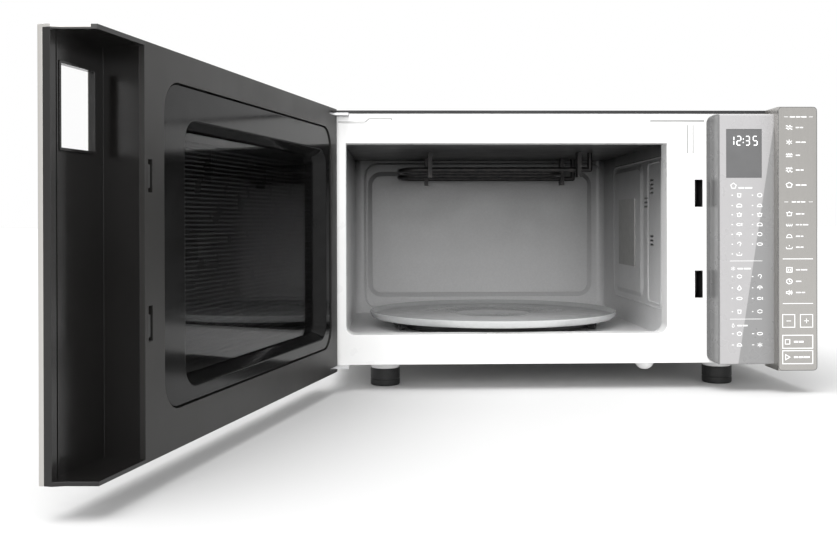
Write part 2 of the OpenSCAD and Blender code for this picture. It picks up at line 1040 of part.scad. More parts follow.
module latch_bar() {
    on_door()
        color(coal)
            union() {
                block([149.5, do + 4.5, 98], [152.5, do + 10.5, 242]);
                sideways(149.5, 152.5)
                    polygon([[do + 10, 110], [di - 6, 110], [di - 5.5, 107.6], [di - 1, 109.5], [di - 1, 125],
                        [do + 10, 125]]);
                sideways(149.5, 152.5)
                    polygon([[do + 10, 214], [di - 6, 214], [di - 5.5, 211.2], [di - 1, 213.1], [di - 1, 229],
                        [do + 10, 229]]);
            }
}

front_frame();
cavity_liner();
cabinet_cover();
rear_panel();
base_plate();
feet();
hinge_top();
hinge_bottom();
hinge_screws();
case_screws();
waveguide_cover();
grill_element();
grill_clips();
grill_insulators();
waveguide();
magnetron();
transformer_core();
transformer_coils();
capacitor();
capacitor_clamp();
fan_shroud();
fan_motor();
lamp_holder();
oven_lamp();
thermal_cutout();
mains_inlet();
filter_board();
turntable_motor();
latch_board();
door_switches();
control_panel();
display_window();
display_module();
control_board();
strip_housing();
touch_glass();
touch_board();
switch_lever_upper();
switch_lever_lower();
drive_coupling();
turntable_plate();
roller_ring();
wheel_a();
wheel_b();
wheel_c();
fan_blade();
door_trim();
door_glass();
door_mask();
door_body();
choke_cover();
door_screen();
inner_glass();
latch_bar();
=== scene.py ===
"""The visible pieces and finishes of a microwave oven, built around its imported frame.

Lengths are metres in the frame's own axes, +Z up and the front facing -Y, unless a name ends in _mm.
"""

import json
import math

import bmesh
import bpy
from bpy.props import FloatProperty, FloatVectorProperty, IntProperty, PointerProperty
from mathutils import Matrix, Vector


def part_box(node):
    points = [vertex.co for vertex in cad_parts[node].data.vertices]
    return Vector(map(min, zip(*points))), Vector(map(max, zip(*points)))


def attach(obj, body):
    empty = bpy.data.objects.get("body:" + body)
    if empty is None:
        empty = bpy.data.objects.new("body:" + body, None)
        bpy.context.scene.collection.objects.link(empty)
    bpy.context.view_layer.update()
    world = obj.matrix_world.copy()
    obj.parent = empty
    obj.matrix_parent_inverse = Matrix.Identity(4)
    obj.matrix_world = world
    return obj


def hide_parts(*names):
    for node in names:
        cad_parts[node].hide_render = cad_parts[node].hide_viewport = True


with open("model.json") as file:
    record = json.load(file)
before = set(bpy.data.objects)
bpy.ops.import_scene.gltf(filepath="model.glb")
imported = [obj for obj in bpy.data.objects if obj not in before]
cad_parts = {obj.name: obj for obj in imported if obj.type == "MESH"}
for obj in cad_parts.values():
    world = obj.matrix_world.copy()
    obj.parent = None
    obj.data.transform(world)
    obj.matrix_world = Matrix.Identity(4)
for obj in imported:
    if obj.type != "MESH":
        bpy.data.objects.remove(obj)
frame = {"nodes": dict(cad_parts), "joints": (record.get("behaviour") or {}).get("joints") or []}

bl_info = {
    "name": "Microwave Oven Looks",
    "version": (1, 0, 0),
    "blender": (4, 5, 0),
    "location": "View3D > Sidebar > Oven",
    "description": "Builds the visible pieces and finishes of a microwave oven on its frame",
    "category": "Object",
}

MM = 0.001
RECORD_JOINTS = {joint["name"]: joint for joint in frame["joints"]}
HINGE = Vector(RECORD_JOINTS["door_hinge"]["pos_m"])
DOOR_OPEN = max(abs(a) for a in RECORD_JOINTS["door_hinge"]["range_deg"])

# Where the camera stands and how it is turned, in metres and degrees
CAMERA_PLACE = (-0.1968, -1.2982, 0.1885)
CAMERA_YAW = 1.652
CAMERA_PITCH = 0.144
CAMERA_ROLL = -0.151
CAMERA_LENS = 42.26
CAMERA_SHIFT = -0.0607

WELD = 1e-6         # points nearer than this become one
NOISE_ROUGHNESS = 0.55
WHITE = (1, 1, 1, 1)


# ---- Places on the open door ----

def door_turn():
    """Turns what is drawn for the shut door to its rest place."""
    spin = Matrix.Rotation(math.radians(-DOOR_OPEN), 4, "Z")
    return Matrix.Translation(HINGE) @ spin @ Matrix.Translation(-HINGE)


def shut_box(node):
    """Lowest and highest corner of a door node as it lies when the door is shut."""
    back = door_turn().inverted()
    points = [back @ v.co for v in frame["nodes"][node].data.vertices]
    low = Vector([min(p[i] for p in points) for i in range(3)])
    high = Vector([max(p[i] for p in points) for i in range(3)])
    return low, high


# ---- Mesh helpers ----

def mesh_piece(name, bm, material=None, smooth_angle=None):
    """A new object at the origin holding the mesh."""
    bmesh.ops.remove_doubles(bm, verts=bm.verts, dist=WELD)
    bmesh.ops.recalc_face_normals(bm, faces=bm.faces)
    mesh = bpy.data.meshes.new(name)
    bm.to_mesh(mesh)
    bm.free()
    if smooth_angle is not None:
        mesh.shade_smooth()
        mesh.set_sharp_from_angle(angle=math.radians(smooth_angle))
    if material:
        mesh.materials.append(material)
    piece = bpy.data.objects.new(name, mesh)
    bpy.context.scene.collection.objects.link(piece)
    return piece


def add_loop(bm, points):
    return [bm.verts.new(p) for p in points]


def add_circle(bm, radius, height, segments, centre=(0, 0, 0)):
    """A level ring of points about Z."""
    turns = [2 * math.pi * k / segments for k in range(segments)]
    return add_loop(bm, [(centre[0] + radius * math.cos(a), centre[1] + radius * math.sin(a), centre[2] + height)
                         for a in turns])


def join_loops(bm, first, second):
    """Faces between two closed loops that have the same number of points."""
    count = len(first)
    for i in range(count):
        j = (i + 1) % count
        bm.faces.new((first[i], first[j], second[j], second[i]))


def round_outline(x0, z0, x1, z1, radius, steps=8):
    """Points of a rectangle with round corners, as pairs; a radius of 0 keeps the same number of points."""
    points = []
    corners = ((x1, z1, 0), (x0, z1, 90), (x0, z0, 180), (x1, z0, 270))
    for cx, cz, start in corners:
        ax = cx - math.copysign(radius, cx - (x0 + x1) / 2)
        az = cz - math.copysign(radius, cz - (z0 + z1) / 2)
        for k in range(steps + 1):
            a = math.radians(start + 90 * k / steps)
            points.append((ax + radius * math.cos(a), az + radius * math.sin(a)))
    return points


def lathe(bm, profile, segments=64, centre=(0, 0, 0)):
    """A solid turned about Z from (radius, height) pairs that start and end on the axis."""
    rings = []
    for radius, height in profile:
        if radius <= 1e-9:
            rings.append([bm.verts.new((centre[0], centre[1], centre[2] + height))])
            continue
        rings.append(add_circle(bm, radius, height, segments, centre))
    for low, high in zip(rings, rings[1:]):
        if len(low) > 1 and len(high) > 1:
            join_loops(bm, low, high)
            continue
        for k in range(segments):
            j = (k + 1) % segments
            bm.faces.new((low[0], high[j], high[k]) if len(low) == 1 else (low[k], low[j], high[0]))


def islands(node):
    """Boxes of a node's separate solids, as (low, high) pairs."""
    bm = bmesh.new()
    bm.from_mesh(frame["nodes"][node].data)
    bmesh.ops.remove_doubles(bm, verts=bm.verts, dist=2e-5)
    left = set(bm.verts)
    boxes = []
    while left:
        reach = [left.pop()]
        found = list(reach)
        while reach:
            vert = reach.pop()
            for edge in vert.link_edges:
                other = edge.other_vert(vert)
                if other in left:
                    left.remove(other)
                    reach.append(other)
                    found.append(other)
        low = Vector([min(v.co[i] for v in found) for i in range(3)])
        high = Vector([max(v.co[i] for v in found) for i in range(3)])
        boxes.append((low, high))
    bm.free()
    return sorted(boxes, key=lambda b: tuple(round(c, 5) for c in b[0]))


def joined(*pieces):
    """The pieces' meshes as one, with the pieces taken away."""
    bm = bmesh.new()
    for piece in pieces:
        bm.from_mesh(piece.data)
        bpy.data.objects.remove(piece)
    return bm


def turned(bm, degrees):
    """Turns a shape that stands along +Z about the X axis."""
    bmesh.ops.transform(bm, matrix=Matrix.Rotation(math.radians(degrees), 4, "X"), verts=bm.verts)
    return bm


def middle(low, high):
    return (low + high) / 2


def bake_modifiers(piece):
    """Turns the piece's modifiers into its mesh and takes them off."""
    bpy.context.view_layer.update()
    graph = bpy.context.evaluated_depsgraph_get()
    made = bpy.data.meshes.new_from_object(piece.evaluated_get(graph))
    old = piece.data
    piece.modifiers.clear()
    piece.data = made
    bpy.data.meshes.remove(old)
    return piece


# ---- Finishes ----

def toned(tone, share):
    """A share of a tone's strength."""
    return tuple(c * share for c in tone)


class Finish:
    """A node material under construction."""

    def __init__(self, name):
        self.material = bpy.data.materials.new(name)
        self.material.use_nodes = True
        self.tree = self.material.node_tree
        self.shader = self.tree.nodes["Principled BSDF"]
        self.place = self.tree.nodes.new("ShaderNodeTexCoord").outputs["Object"]

    def feed(self, socket, value):
        """Links a socket to another node's output, or gives it a fixed value."""
        if isinstance(value, bpy.types.NodeSocket):
            self.tree.links.new(value, socket)
        else:
            socket.default_value = value

    def add(self, kind, **inputs):
        node = self.tree.nodes.new(kind)
        for label, value in inputs.items():
            self.feed(node.inputs[label.replace("_", " ")], value)
        return node

    def set(self, **values):
        for label, value in values.items():
            self.feed(self.shader.inputs[label.replace("_", " ")], value)
        return self

    def axes(self):
        """The place on the object as its X, Y and Z."""
        return self.add("ShaderNodeSeparateXYZ", Vector=self.place).outputs

    def maths(self, operation, *values):
        node = self.add("ShaderNodeMath")
        node.operation = operation
        for socket, value in zip(node.inputs, values):
            self.feed(socket, value)
        return node.outputs["Value"]

    def rising(self, source, start, end, low=0.0, high=1.0):
        """Goes from low to high as the source goes from start to end."""
        return self.add("ShaderNodeMapRange", Value=source, From_Min=start, From_Max=end, To_Min=low,
                        To_Max=high).outputs["Result"]

    def noise(self, scale, detail=3.0, stretch=(1, 1, 1)):
        mapping = self.add("ShaderNodeMapping", Vector=self.place, Scale=stretch)
        return self.add("ShaderNodeTexNoise", Vector=mapping.outputs["Vector"], Scale=scale, Detail=detail,
                        Roughness=NOISE_ROUGHNESS).outputs["Fac"]

    def ramp(self, factor, stops):
        """Tones along a factor from (position, tone) stops."""
        node = self.add("ShaderNodeValToRGB", Fac=factor)
        elements = node.color_ramp.elements
        while len(elements) < len(stops):
            elements.new(0.5)
        for element, (position, tone) in zip(elements, stops):
            element.position = position
            element.color = (*tone, 1)
        return node.outputs["Color"]

    def colours(self, factor, dark, light, start=0.3, end=0.7):
        return self.ramp(factor, ((start, dark), (end, light)))

    def mixed(self, factor, first, second, blend="MIX"):
        node = self.add("ShaderNodeMix")
        node.data_type = "RGBA"
        node.blend_type = blend
        for socket, value in ((0, factor), (6, first), (7, second)):
            self.feed(node.inputs[socket], value)
        return node.outputs[2]

    def roughness(self, factor, low, high):
        return self.set(Roughness=self.rising(factor, 0.3, 0.7, low, high))

    def relief(self, factor, strength, depth, edge=0.0):
        """Fine relief, over edges rounded by the given radius."""
        bump = self.add("ShaderNodeBump", Height=factor, Strength=strength, Distance=depth)
        if edge:
            soft = self.add("ShaderNodeBevel", Radius=edge)
            soft.samples = 4
            self.feed(bump.inputs["Normal"], soft.outputs["Normal"])
        return self.set(Normal=bump.outputs["Normal"])


def grained_finish(name, tones, grain, rough_grain, rough, relief_grain, relief, edge=0.0, ends=(0.3, 0.7), **fixed):
    """Two tones, uneven roughness and fine relief, each from its own grain of (scale, detail, stretch)."""
    finish = Finish(name)
    finish.set(Base_Color=finish.colours(finish.noise(*grain), *tones, *ends))
    finish.roughness(finish.noise(*rough_grain), *rough)
    finish.relief(finish.noise(*relief_grain), *relief, edge)
    return finish.set(**fixed).material


# Record slot: dark tone, light tone, patch scale, roughness pair, relief (scale, strength, depth), edge radius,
# and values that are the same all over
SOLID_FINISHES = {
    "white_enamel": ((0.86, 0.86, 0.855), (0.9, 0.9, 0.895), 6, (0.26, 0.34), (900, 0.05, 0.0002), 0.0006,
                     {"Coat_Weight": 0.35, "Coat_Roughness": 0.12}),
    "black_enamel": ((0.009, 0.009, 0.01), (0.015, 0.015, 0.016), 14, (0.42, 0.55), (1400, 0.35, 0.0003), 0.0005,
                     {}),
    "zinc_steel": ((0.5, 0.5, 0.51), (0.66, 0.66, 0.67), 60, (0.28, 0.42), (300, 0.06, 0.0002), 0.0,
                   {"Metallic": 0.95}),
    "foot_rubber": ((0.007, 0.007, 0.007), (0.014, 0.014, 0.014), 40, (0.55, 0.7), (1200, 0.25, 0.0003), 0.0, {}),
    "mica": ((0.3, 0.298, 0.29), (0.36, 0.357, 0.348), 120, (0.45, 0.6), (500, 0.2, 0.0002), 0.0, {}),
    "element_sheath": ((0.01, 0.01, 0.011), (0.035, 0.032, 0.031), 150, (0.3, 0.5), (700, 0.2, 0.0002), 0.0,
                       {"Metallic": 0.6}),
    "ceramic_white": ((0.72, 0.7, 0.66), (0.8, 0.78, 0.74), 60, (0.3, 0.45), (500, 0.1, 0.0002), 0.0, {}),
    "copper_wire": ((0.36, 0.14, 0.06), (0.55, 0.25, 0.11), 200, (0.25, 0.4), (700, 0.2, 0.0003), 0.0,
                    {"Metallic": 0.9}),
    "black_plastic": ((0.013, 0.013, 0.013), (0.024, 0.024, 0.024), 50, (0.35, 0.5), (900, 0.15, 0.0002), 0.0, {}),
    "lamp_white": ((0.68, 0.67, 0.63), (0.76, 0.75, 0.71), 50, (0.4, 0.5), (700, 0.1, 0.0002), 0.0, {}),
    "board_green": ((0.015, 0.075, 0.035), (0.03, 0.12, 0.06), 160, (0.3, 0.45), (500, 0.1, 0.0002), 0.0, {}),
    "wheel_plastic": ((0.03, 0.03, 0.03), (0.05, 0.05, 0.05), 80, (0.4, 0.55), (900, 0.15, 0.0002), 0.0, {}),
    "charcoal_plastic": ((0.006, 0.0056, 0.0053), (0.009, 0.0085, 0.0081), 7, (0.16, 0.24), (1300, 0.06,
                         0.0002), 0.0005,
                         {"Specular IOR Level": 0.44}),
    "grey_plastic": ((0.013, 0.0123, 0.0115), (0.018, 0.017, 0.016), 6, (0.36, 0.44), (1300, 0.12, 0.0002), 0.0005,
                     {"Specular IOR Level": 0.36}),
    "black_screen": ((0.004, 0.004, 0.004), (0.008, 0.008, 0.008), 60, (0.08, 0.13), (500, 0.015, 0.0002), 0.0,
                     {"Specular IOR Level": 0.16}),
}


def solid_finish(slot):
    dark, light, patch, rough, relief, edge, fixed = SOLID_FINISHES[slot]
    return grained_finish(slot + "_finish", (dark, light), (patch, 4), (patch * 3.1, 5), rough, (relief[0], 2),
                          relief[1:], edge, **fixed)


# Grain and relief of every sheet of glass
GLASS_GRAIN = (260, 2)
GLASS_ROUGH_GRAIN = (35, 3)
GLASS_WAVES = (18, 1)
GLASS_WAVE_RELIEF = (0.02, 0.0004)


def glass_finish(name, tint, roughness, ior=1.5):
    """Clear or smoked glass with faint waviness."""
    return grained_finish(name, (toned(tint, 0.96), tint), GLASS_GRAIN, GLASS_ROUGH_GRAIN,
                          (roughness * 0.7, roughness * 1.3), GLASS_WAVES, GLASS_WAVE_RELIEF,
                          Transmission_Weight=1.0, IOR=ior)


# How far the smoked window lies inside the silver print, in mm: left, right, bottom, top
WINDOW_INSET = (62.3, 131.4, 54.5, 59.4)
WINDOW_LAP = 3 * MM


def front_glass_finish(name, smoked):
    """Front glass: smoked over the window and clear elsewhere, so the silver print and the clock show."""
    finish = Finish(name)
    low, high = shut_box("door_mask")
    left, right, bottom, top = (inset * MM for inset in WINDOW_INSET)
    corners = [door_turn() @ Vector((x, low.y, z)) for x in (low.x + left, high.x - right)
               for z in (low.z + bottom, high.z - top)]
    axes = finish.axes()
    near = []
    for axis, i in (("Y", 1), ("Z", 2)):
        first, last = min(c[i] for c in corners), max(c[i] for c in corners)
        near.append(finish.maths("COMPARE", axes[axis], middle(first, last), (last - first) / 2 + WINDOW_LAP))
    faint = finish.colours(finish.noise(*GLASS_GRAIN), toned(smoked, 0.97), smoked)
    finish.set(Base_Color=finish.mixed(finish.maths("MULTIPLY", *near), WHITE, faint))
    finish.roughness(finish.noise(*GLASS_ROUGH_GRAIN), 0.006, 0.01)
    finish.relief(finish.noise(*GLASS_WAVES), *GLASS_WAVE_RELIEF)
    return finish.set(Transmission_Weight=1.0, IOR=1.12).material


def silver_finish(name, dark, light, metallic=0.85, rough=(0.3, 0.38)):
    """Silver lacquer with fine metal flake and faint upright brushing."""
    return grained_finish(name, (dark, light), (4200, 1), (400, 2, (1, 1, 0.02)), rough, (260, 1), (0.015, 0.0001),
                          0.0006, (0.1, 0.9), Metallic=metallic, Coat_Weight=0.3, Coat_Roughness=0.1)


def panel_painted_light_finish(name, colours):
    """Lacquer with painted light: a painted reflection makes the front pale up to a slanting line and deeper past it,
    and painted shade makes the flank deeper.
    """
    low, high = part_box("control_panel")
    finish = Finish(name)
    axes = finish.axes()
    flake = finish.noise(50, 2)

    def field(tone):
        return finish.colours(flake, toned(tone, 0.99), tuple(tone), 0.1, 0.9)

    def past(source, start, width):
        """0 below the start and 1 past it, over a narrow width."""
        return finish.rising(source, start, start + width)

    # the edge of the painted reflection crosses the panel's right edge near the top and leans left as it goes down
    lean = finish.maths("MULTIPLY_ADD", axes["Z"], -colours.reflection_slant, axes["X"])
    reflection_edge_start = high.x - colours.reflection_slant * (high.z - 12 * MM)
    front = finish.mixed(past(lean, reflection_edge_start, 0.6 * MM), field(colours.panel_reflection_pale), field(colours.panel_reflection_deep))
    # painted shade: the flank is deeper, darkest in a narrow band along its outer edge
    shaded_flank = finish.mixed(past(axes["X"], low.x + 3.4 * MM, 0.8 * MM), field(toned(colours.panel_flank_shade, 0.61)),
                         field(colours.panel_flank_shade))
    finish.set(Base_Color=finish.mixed(past(axes["X"], low.x + 6.2 * MM, 0.3 * MM), shaded_flank, front))
    finish.roughness(finish.noise(60, 2), 0.26, 0.32)
    finish.relief(finish.noise(40, 1), 0.01, 0.0001)
    return finish.set(Metallic=0.1).material


# Share of the cavity's height, and how pale its enamel is painted there: painted light paler towards the floor,
# painted shade near black at the ceiling
CAVITY_PAINTED_LIGHT_TONES = ((0.0, 0.78), (0.3, 0.56), (0.7, 0.38), (0.88, 0.22), (0.965, 0.08), (1.0, 0.012))


def cavity_painted_light_finish(name):
    """Satin grey enamel with painted light, paler towards the floor, and painted shade, darkest at the ceiling over
    the grill.
    """
    low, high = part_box("cavity_liner")
    finish = Finish(name)
    height = finish.rising(finish.axes()["Z"], low.z, high.z)
    # painted light and shade by height, from pale at the floor to near black at the ceiling
    tones = finish.ramp(height, [(share, (tone, tone, tone * 1.005)) for share, tone in CAVITY_PAINTED_LIGHT_TONES])
    mottle = finish.colours(finish.noise(420, 4), (0.93, 0.93, 0.93), (1, 1, 1))
    finish.set(Base_Color=finish.mixed(1.0, tones, mottle, "MULTIPLY"))
    finish.roughness(finish.noise(28, 5), 0.28, 0.4)
    return finish.relief(finish.noise(1500, 2), 0.05, 0.0002, 0.0008).material


def ink_finish(name, colour, glow=0.0):
    """Printed ink with a slightly uneven edge and coverage."""
    lit = {"Emission_Color": (*colour, 1), "Emission_Strength": glow} if glow else {}
    return grained_finish(name, (toned(colour, 0.93), tuple(colour)), (1500, 2), (900,), (0.35, 0.5), (2500, 1),
                          (0.05, 0.0001), **lit)


def extra_finishes(colours):
    """Makers of the finishes that aren't in the table of solid ones."""
    silver = tuple(colours.silver)
    mirror = (toned(silver, 0.87), toned(silver, 0.885))
    return {
        "silver_plastic": lambda: silver_finish("silver_lacquer", toned(silver, 0.97), silver),
        "silver_glass": lambda: silver_finish("silver_mirror_print", *mirror, 0.9, (0.16, 0.22)),
        "silver_print": lambda: grained_finish("silver_print", mirror, (30, 2), (200, 2, (1, 1, 0.05)), (0.2, 0.26),
                                               (25, 1), (0.01, 0.0001), Metallic=0.9),
        # the control panel's finish paints a reflection on its front and shade on its flank
        "panel_face": lambda: panel_painted_light_finish("panel_lacquer", colours),
        "front_glass": lambda: front_glass_finish("front_glass", (0.2, 0.2, 0.203)),
        "dark_glass": lambda: glass_finish("inner_glass_smoked", tuple(colours.smoked), 0.015, 1.15),
        "plate_glass": lambda: grained_finish("plate_glass_pressed", ((0.66, 0.67, 0.67), (0.71, 0.72, 0.72)),
                                              (180, 2), (60, 3), (0.1, 0.18), (240, 2), (0.04, 0.0003),
                                              Transmission_Weight=0.2, IOR=1.5),
        # the cavity's finish paints light towards the floor and shade at the ceiling
        "cavity_steel": lambda: cavity_painted_light_finish("cavity_enamel"),
        "clear_bulb": lambda: glass_finish("bulb_glass", (0.97, 0.96, 0.92), 0.02),
        "smoked_lens": lambda: grained_finish("display_lens", ((0.112, 0.112, 0.114), (0.124, 0.124, 0.126)), (40,),
                                              (60,), (0.1, 0.16), (500,), (0.02, 0.0001), Coat_Weight=0.6,
                                              Coat_Roughness=0.03),
        # painted shade: the black ring round the door screen's raised face
        "gasket_black": lambda: grained_finish("gasket_rubber", ((0.002, 0.002, 0.002), (0.004, 0.004, 0.004)), (300,),
                                               (200,), (0.7, 0.85), (900,), (0.05, 0.0001), Specular_IOR_Level=0.1),
        # painted shade for the lines beside the front frame's ribs
        "crease_grey": lambda: ink_finish("crease_grey", (0.36, 0.36, 0.355)),
        "edge_print": lambda: ink_finish("grey_edge_print", (0.11, 0.11, 0.11)),
        "white_ink": lambda: ink_finish("white_ink", tuple(colours.ink)),
        "lit_digits": lambda: ink_finish("lit_digits", (0.95, 0.96, 0.97), 0.7),
    }


MATERIALS = {}


def material(name):
    """The finish for a record slot or a named extra, made once."""
    if name not in MATERIALS:
        extras = extra_finishes(bpy.context.scene.oven_colours)
        if name not in SOLID_FINISHES and name not in extras:
            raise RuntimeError(f"no finish is written for {name!r}")
        MATERIALS[name] = solid_finish(name) if name in SOLID_FINISHES else extras[name]()
    return MATERIALS[name]


def paint_nodes():
    """Gives every node of the frame the finish of its record slot."""
    special = {"control_panel": "panel_face"}
    for name, node in frame["nodes"].items():
        slot = node.data.materials[0].name.split(".")[0]
        for i in range(len(node.data.materials)):
            node.material_slots[i].material = material(special.get(name, slot))


# ---- Silver print behind the door's glass ----

def make_silver_print():
    """The thin print behind the front glass, with crisp flat faces held just clear of it."""
    low, high = shut_box("door_mask")
    shut = door_turn().inverted()
    bm = bmesh.new()
    bm.from_mesh(frame["nodes"]["door_mask"].data)
    bmesh.ops.remove_doubles(bm, verts=bm.verts, dist=2e-6)
    bmesh.ops.dissolve_limit(bm, angle_limit=math.radians(0.5), verts=bm.verts, edges=bm.edges)
    bmesh.ops.triangulate(bm, faces=bm.faces)
    for vert in bm.verts:
        place = shut @ vert.co
        if place.y < low.y + 0.1 * MM:
            place.y += 0.08 * MM
            vert.co = door_turn() @ place
    sheet = mesh_piece("door_silver_print", bm, material("silver_print"))
    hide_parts("door_mask")
    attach(sheet, "door")


# ---- Geometry node trees ----

def new_tree(name, inputs):
    """A tree with a geometry output and the named inputs, and its group input node."""
    tree = bpy.data.node_groups.new(name, "GeometryNodeTree")
    tree.interface.new_socket("Geometry", in_out="OUTPUT", socket_type="NodeSocketGeometry")
    for label, kind in inputs:
        tree.interface.new_socket(label, in_out="INPUT", socket_type="NodeSocket" + kind)
    return tree, tree.nodes.new("NodeGroupInput")


def end_tree(tree, start, copies, weld=0.0):
    """Ends a tree with its copies made real, welded if asked, and in their finish."""
    put, link = tree.nodes.new, tree.links.new
    real = put("GeometryNodeRealizeInstances")
    link(copies.outputs["Instances"], real.inputs["Geometry"])
    last = real
    if weld:
        last = put("GeometryNodeMergeByDistance")
        last.inputs["Distance"].default_value = weld
        link(real.outputs["Geometry"], last.inputs["Geometry"])
    coat = put("GeometryNodeSetMaterial")
    link(last.outputs["Geometry"], coat.inputs["Geometry"])
    link(start.outputs["Finish"], coat.inputs["Material"])
    link(coat.outputs["Geometry"], put("NodeGroupOutput").inputs["Geometry"])
    return tree


def screen_tree():
    """Repeats one holed tile over columns and rows."""
    tree, start = new_tree("screen_tiles", (("Tile", "Geometry"), ("Columns", "Int"), ("Rows", "Int"),
                                            ("Pitch", "Float"), ("Finish", "Material")))
    put, link = tree.nodes.new, tree.links.new
    grid = put("GeometryNodeMeshGrid")
    for count, side, axis in (("Columns", "Size X", "Vertices X"), ("Rows", "Size Y", "Vertices Y")):
        gaps = put("ShaderNodeMath")
        gaps.operation = "SUBTRACT"
        gaps.inputs[1].default_value = 1.0
        link(start.outputs[count], gaps.inputs[0])
        length = put("ShaderNodeMath")
        length.operation = "MULTIPLY"
        link(gaps.outputs[0], length.inputs[0])
        link(start.outputs["Pitch"], length.inputs[1])
        link(length.outputs[0], grid.inputs[side])
        link(start.outputs[count], grid.inputs[axis])
    copies = put("GeometryNodeInstanceOnPoints")
    link(grid.outputs["Mesh"], copies.inputs["Points"])
    link(start.outputs["Tile"], copies.inputs["Instance"])
    return end_tree(tree, start, copies, 1e-5)


def scatter_tree(name):
    """Puts one shape on every point, with a seeded turn."""
    tree, start = new_tree(name, (("Points", "Geometry"), ("Shape", "Object"), ("Turn", "Vector"), ("Seed", "Int"),
                                  ("Finish", "Material")))
    put, link = tree.nodes.new, tree.links.new
    shape = put("GeometryNodeObjectInfo")
    link(start.outputs["Shape"], shape.inputs["Object"])
    turn = put("FunctionNodeRandomValue")
    turn.data_type = "FLOAT_VECTOR"
    link(start.outputs["Turn"], turn.inputs["Max"])
    link(start.outputs["Seed"], turn.inputs["Seed"])
    copies = put("GeometryNodeInstanceOnPoints")
    link(start.outputs["Points"], copies.inputs["Points"])
    link(shape.outputs["Geometry"], copies.inputs["Instance"])
    link(turn.outputs["Value"], copies.inputs["Rotation"])
    return end_tree(tree, start, copies)


def set_inputs(modifier, values):
    """Sets a node modifier's inputs by their socket identifiers."""
    for item in modifier.node_group.interface.items_tree:
        if item.item_type == "SOCKET" and item.in_out == "INPUT" and item.name in values:
            modifier[item.identifier] = values[item.name]


# ---- Perforated door screen ----

def holed_tile(pitch, radius, thickness, sides=6):
    """One square tile with a round hole, open at its square edge."""
    bm = bmesh.new()
    half = pitch / 2
    rim = []
    edge = []
    for k in range(sides):
        a = 2 * math.pi * k / sides
        c, s = math.cos(a), math.sin(a)
        reach = half / max(abs(c), abs(s))
        rim.append((radius * c, radius * s))
        edge.append((reach * c, reach * s))
    corners = ((half, half), (-half, half), (-half, -half), (half, -half))
    skins = []
    for z in (0.0, -thickness):
        inner, outer, tips = (add_loop(bm, [(x, y, z) for x, y in points]) for points in (rim, edge, corners))
        for k in range(sides):
            j = (k + 1) % sides
            face = [inner[k], outer[k], outer[j], inner[j]]
            if all(abs(outer[k].co[i] - outer[j].co[i]) >= 1e-9 for i in (0, 1)):
                between = middle(outer[k].co, outer[j].co)
                face.insert(2, min(tips, key=lambda tip: (tip.co - between).length))
            if z:
                face.reverse()
            bm.faces.new(face)
        skins.append(inner)
    join_loops(bm, *skins)
    return bm


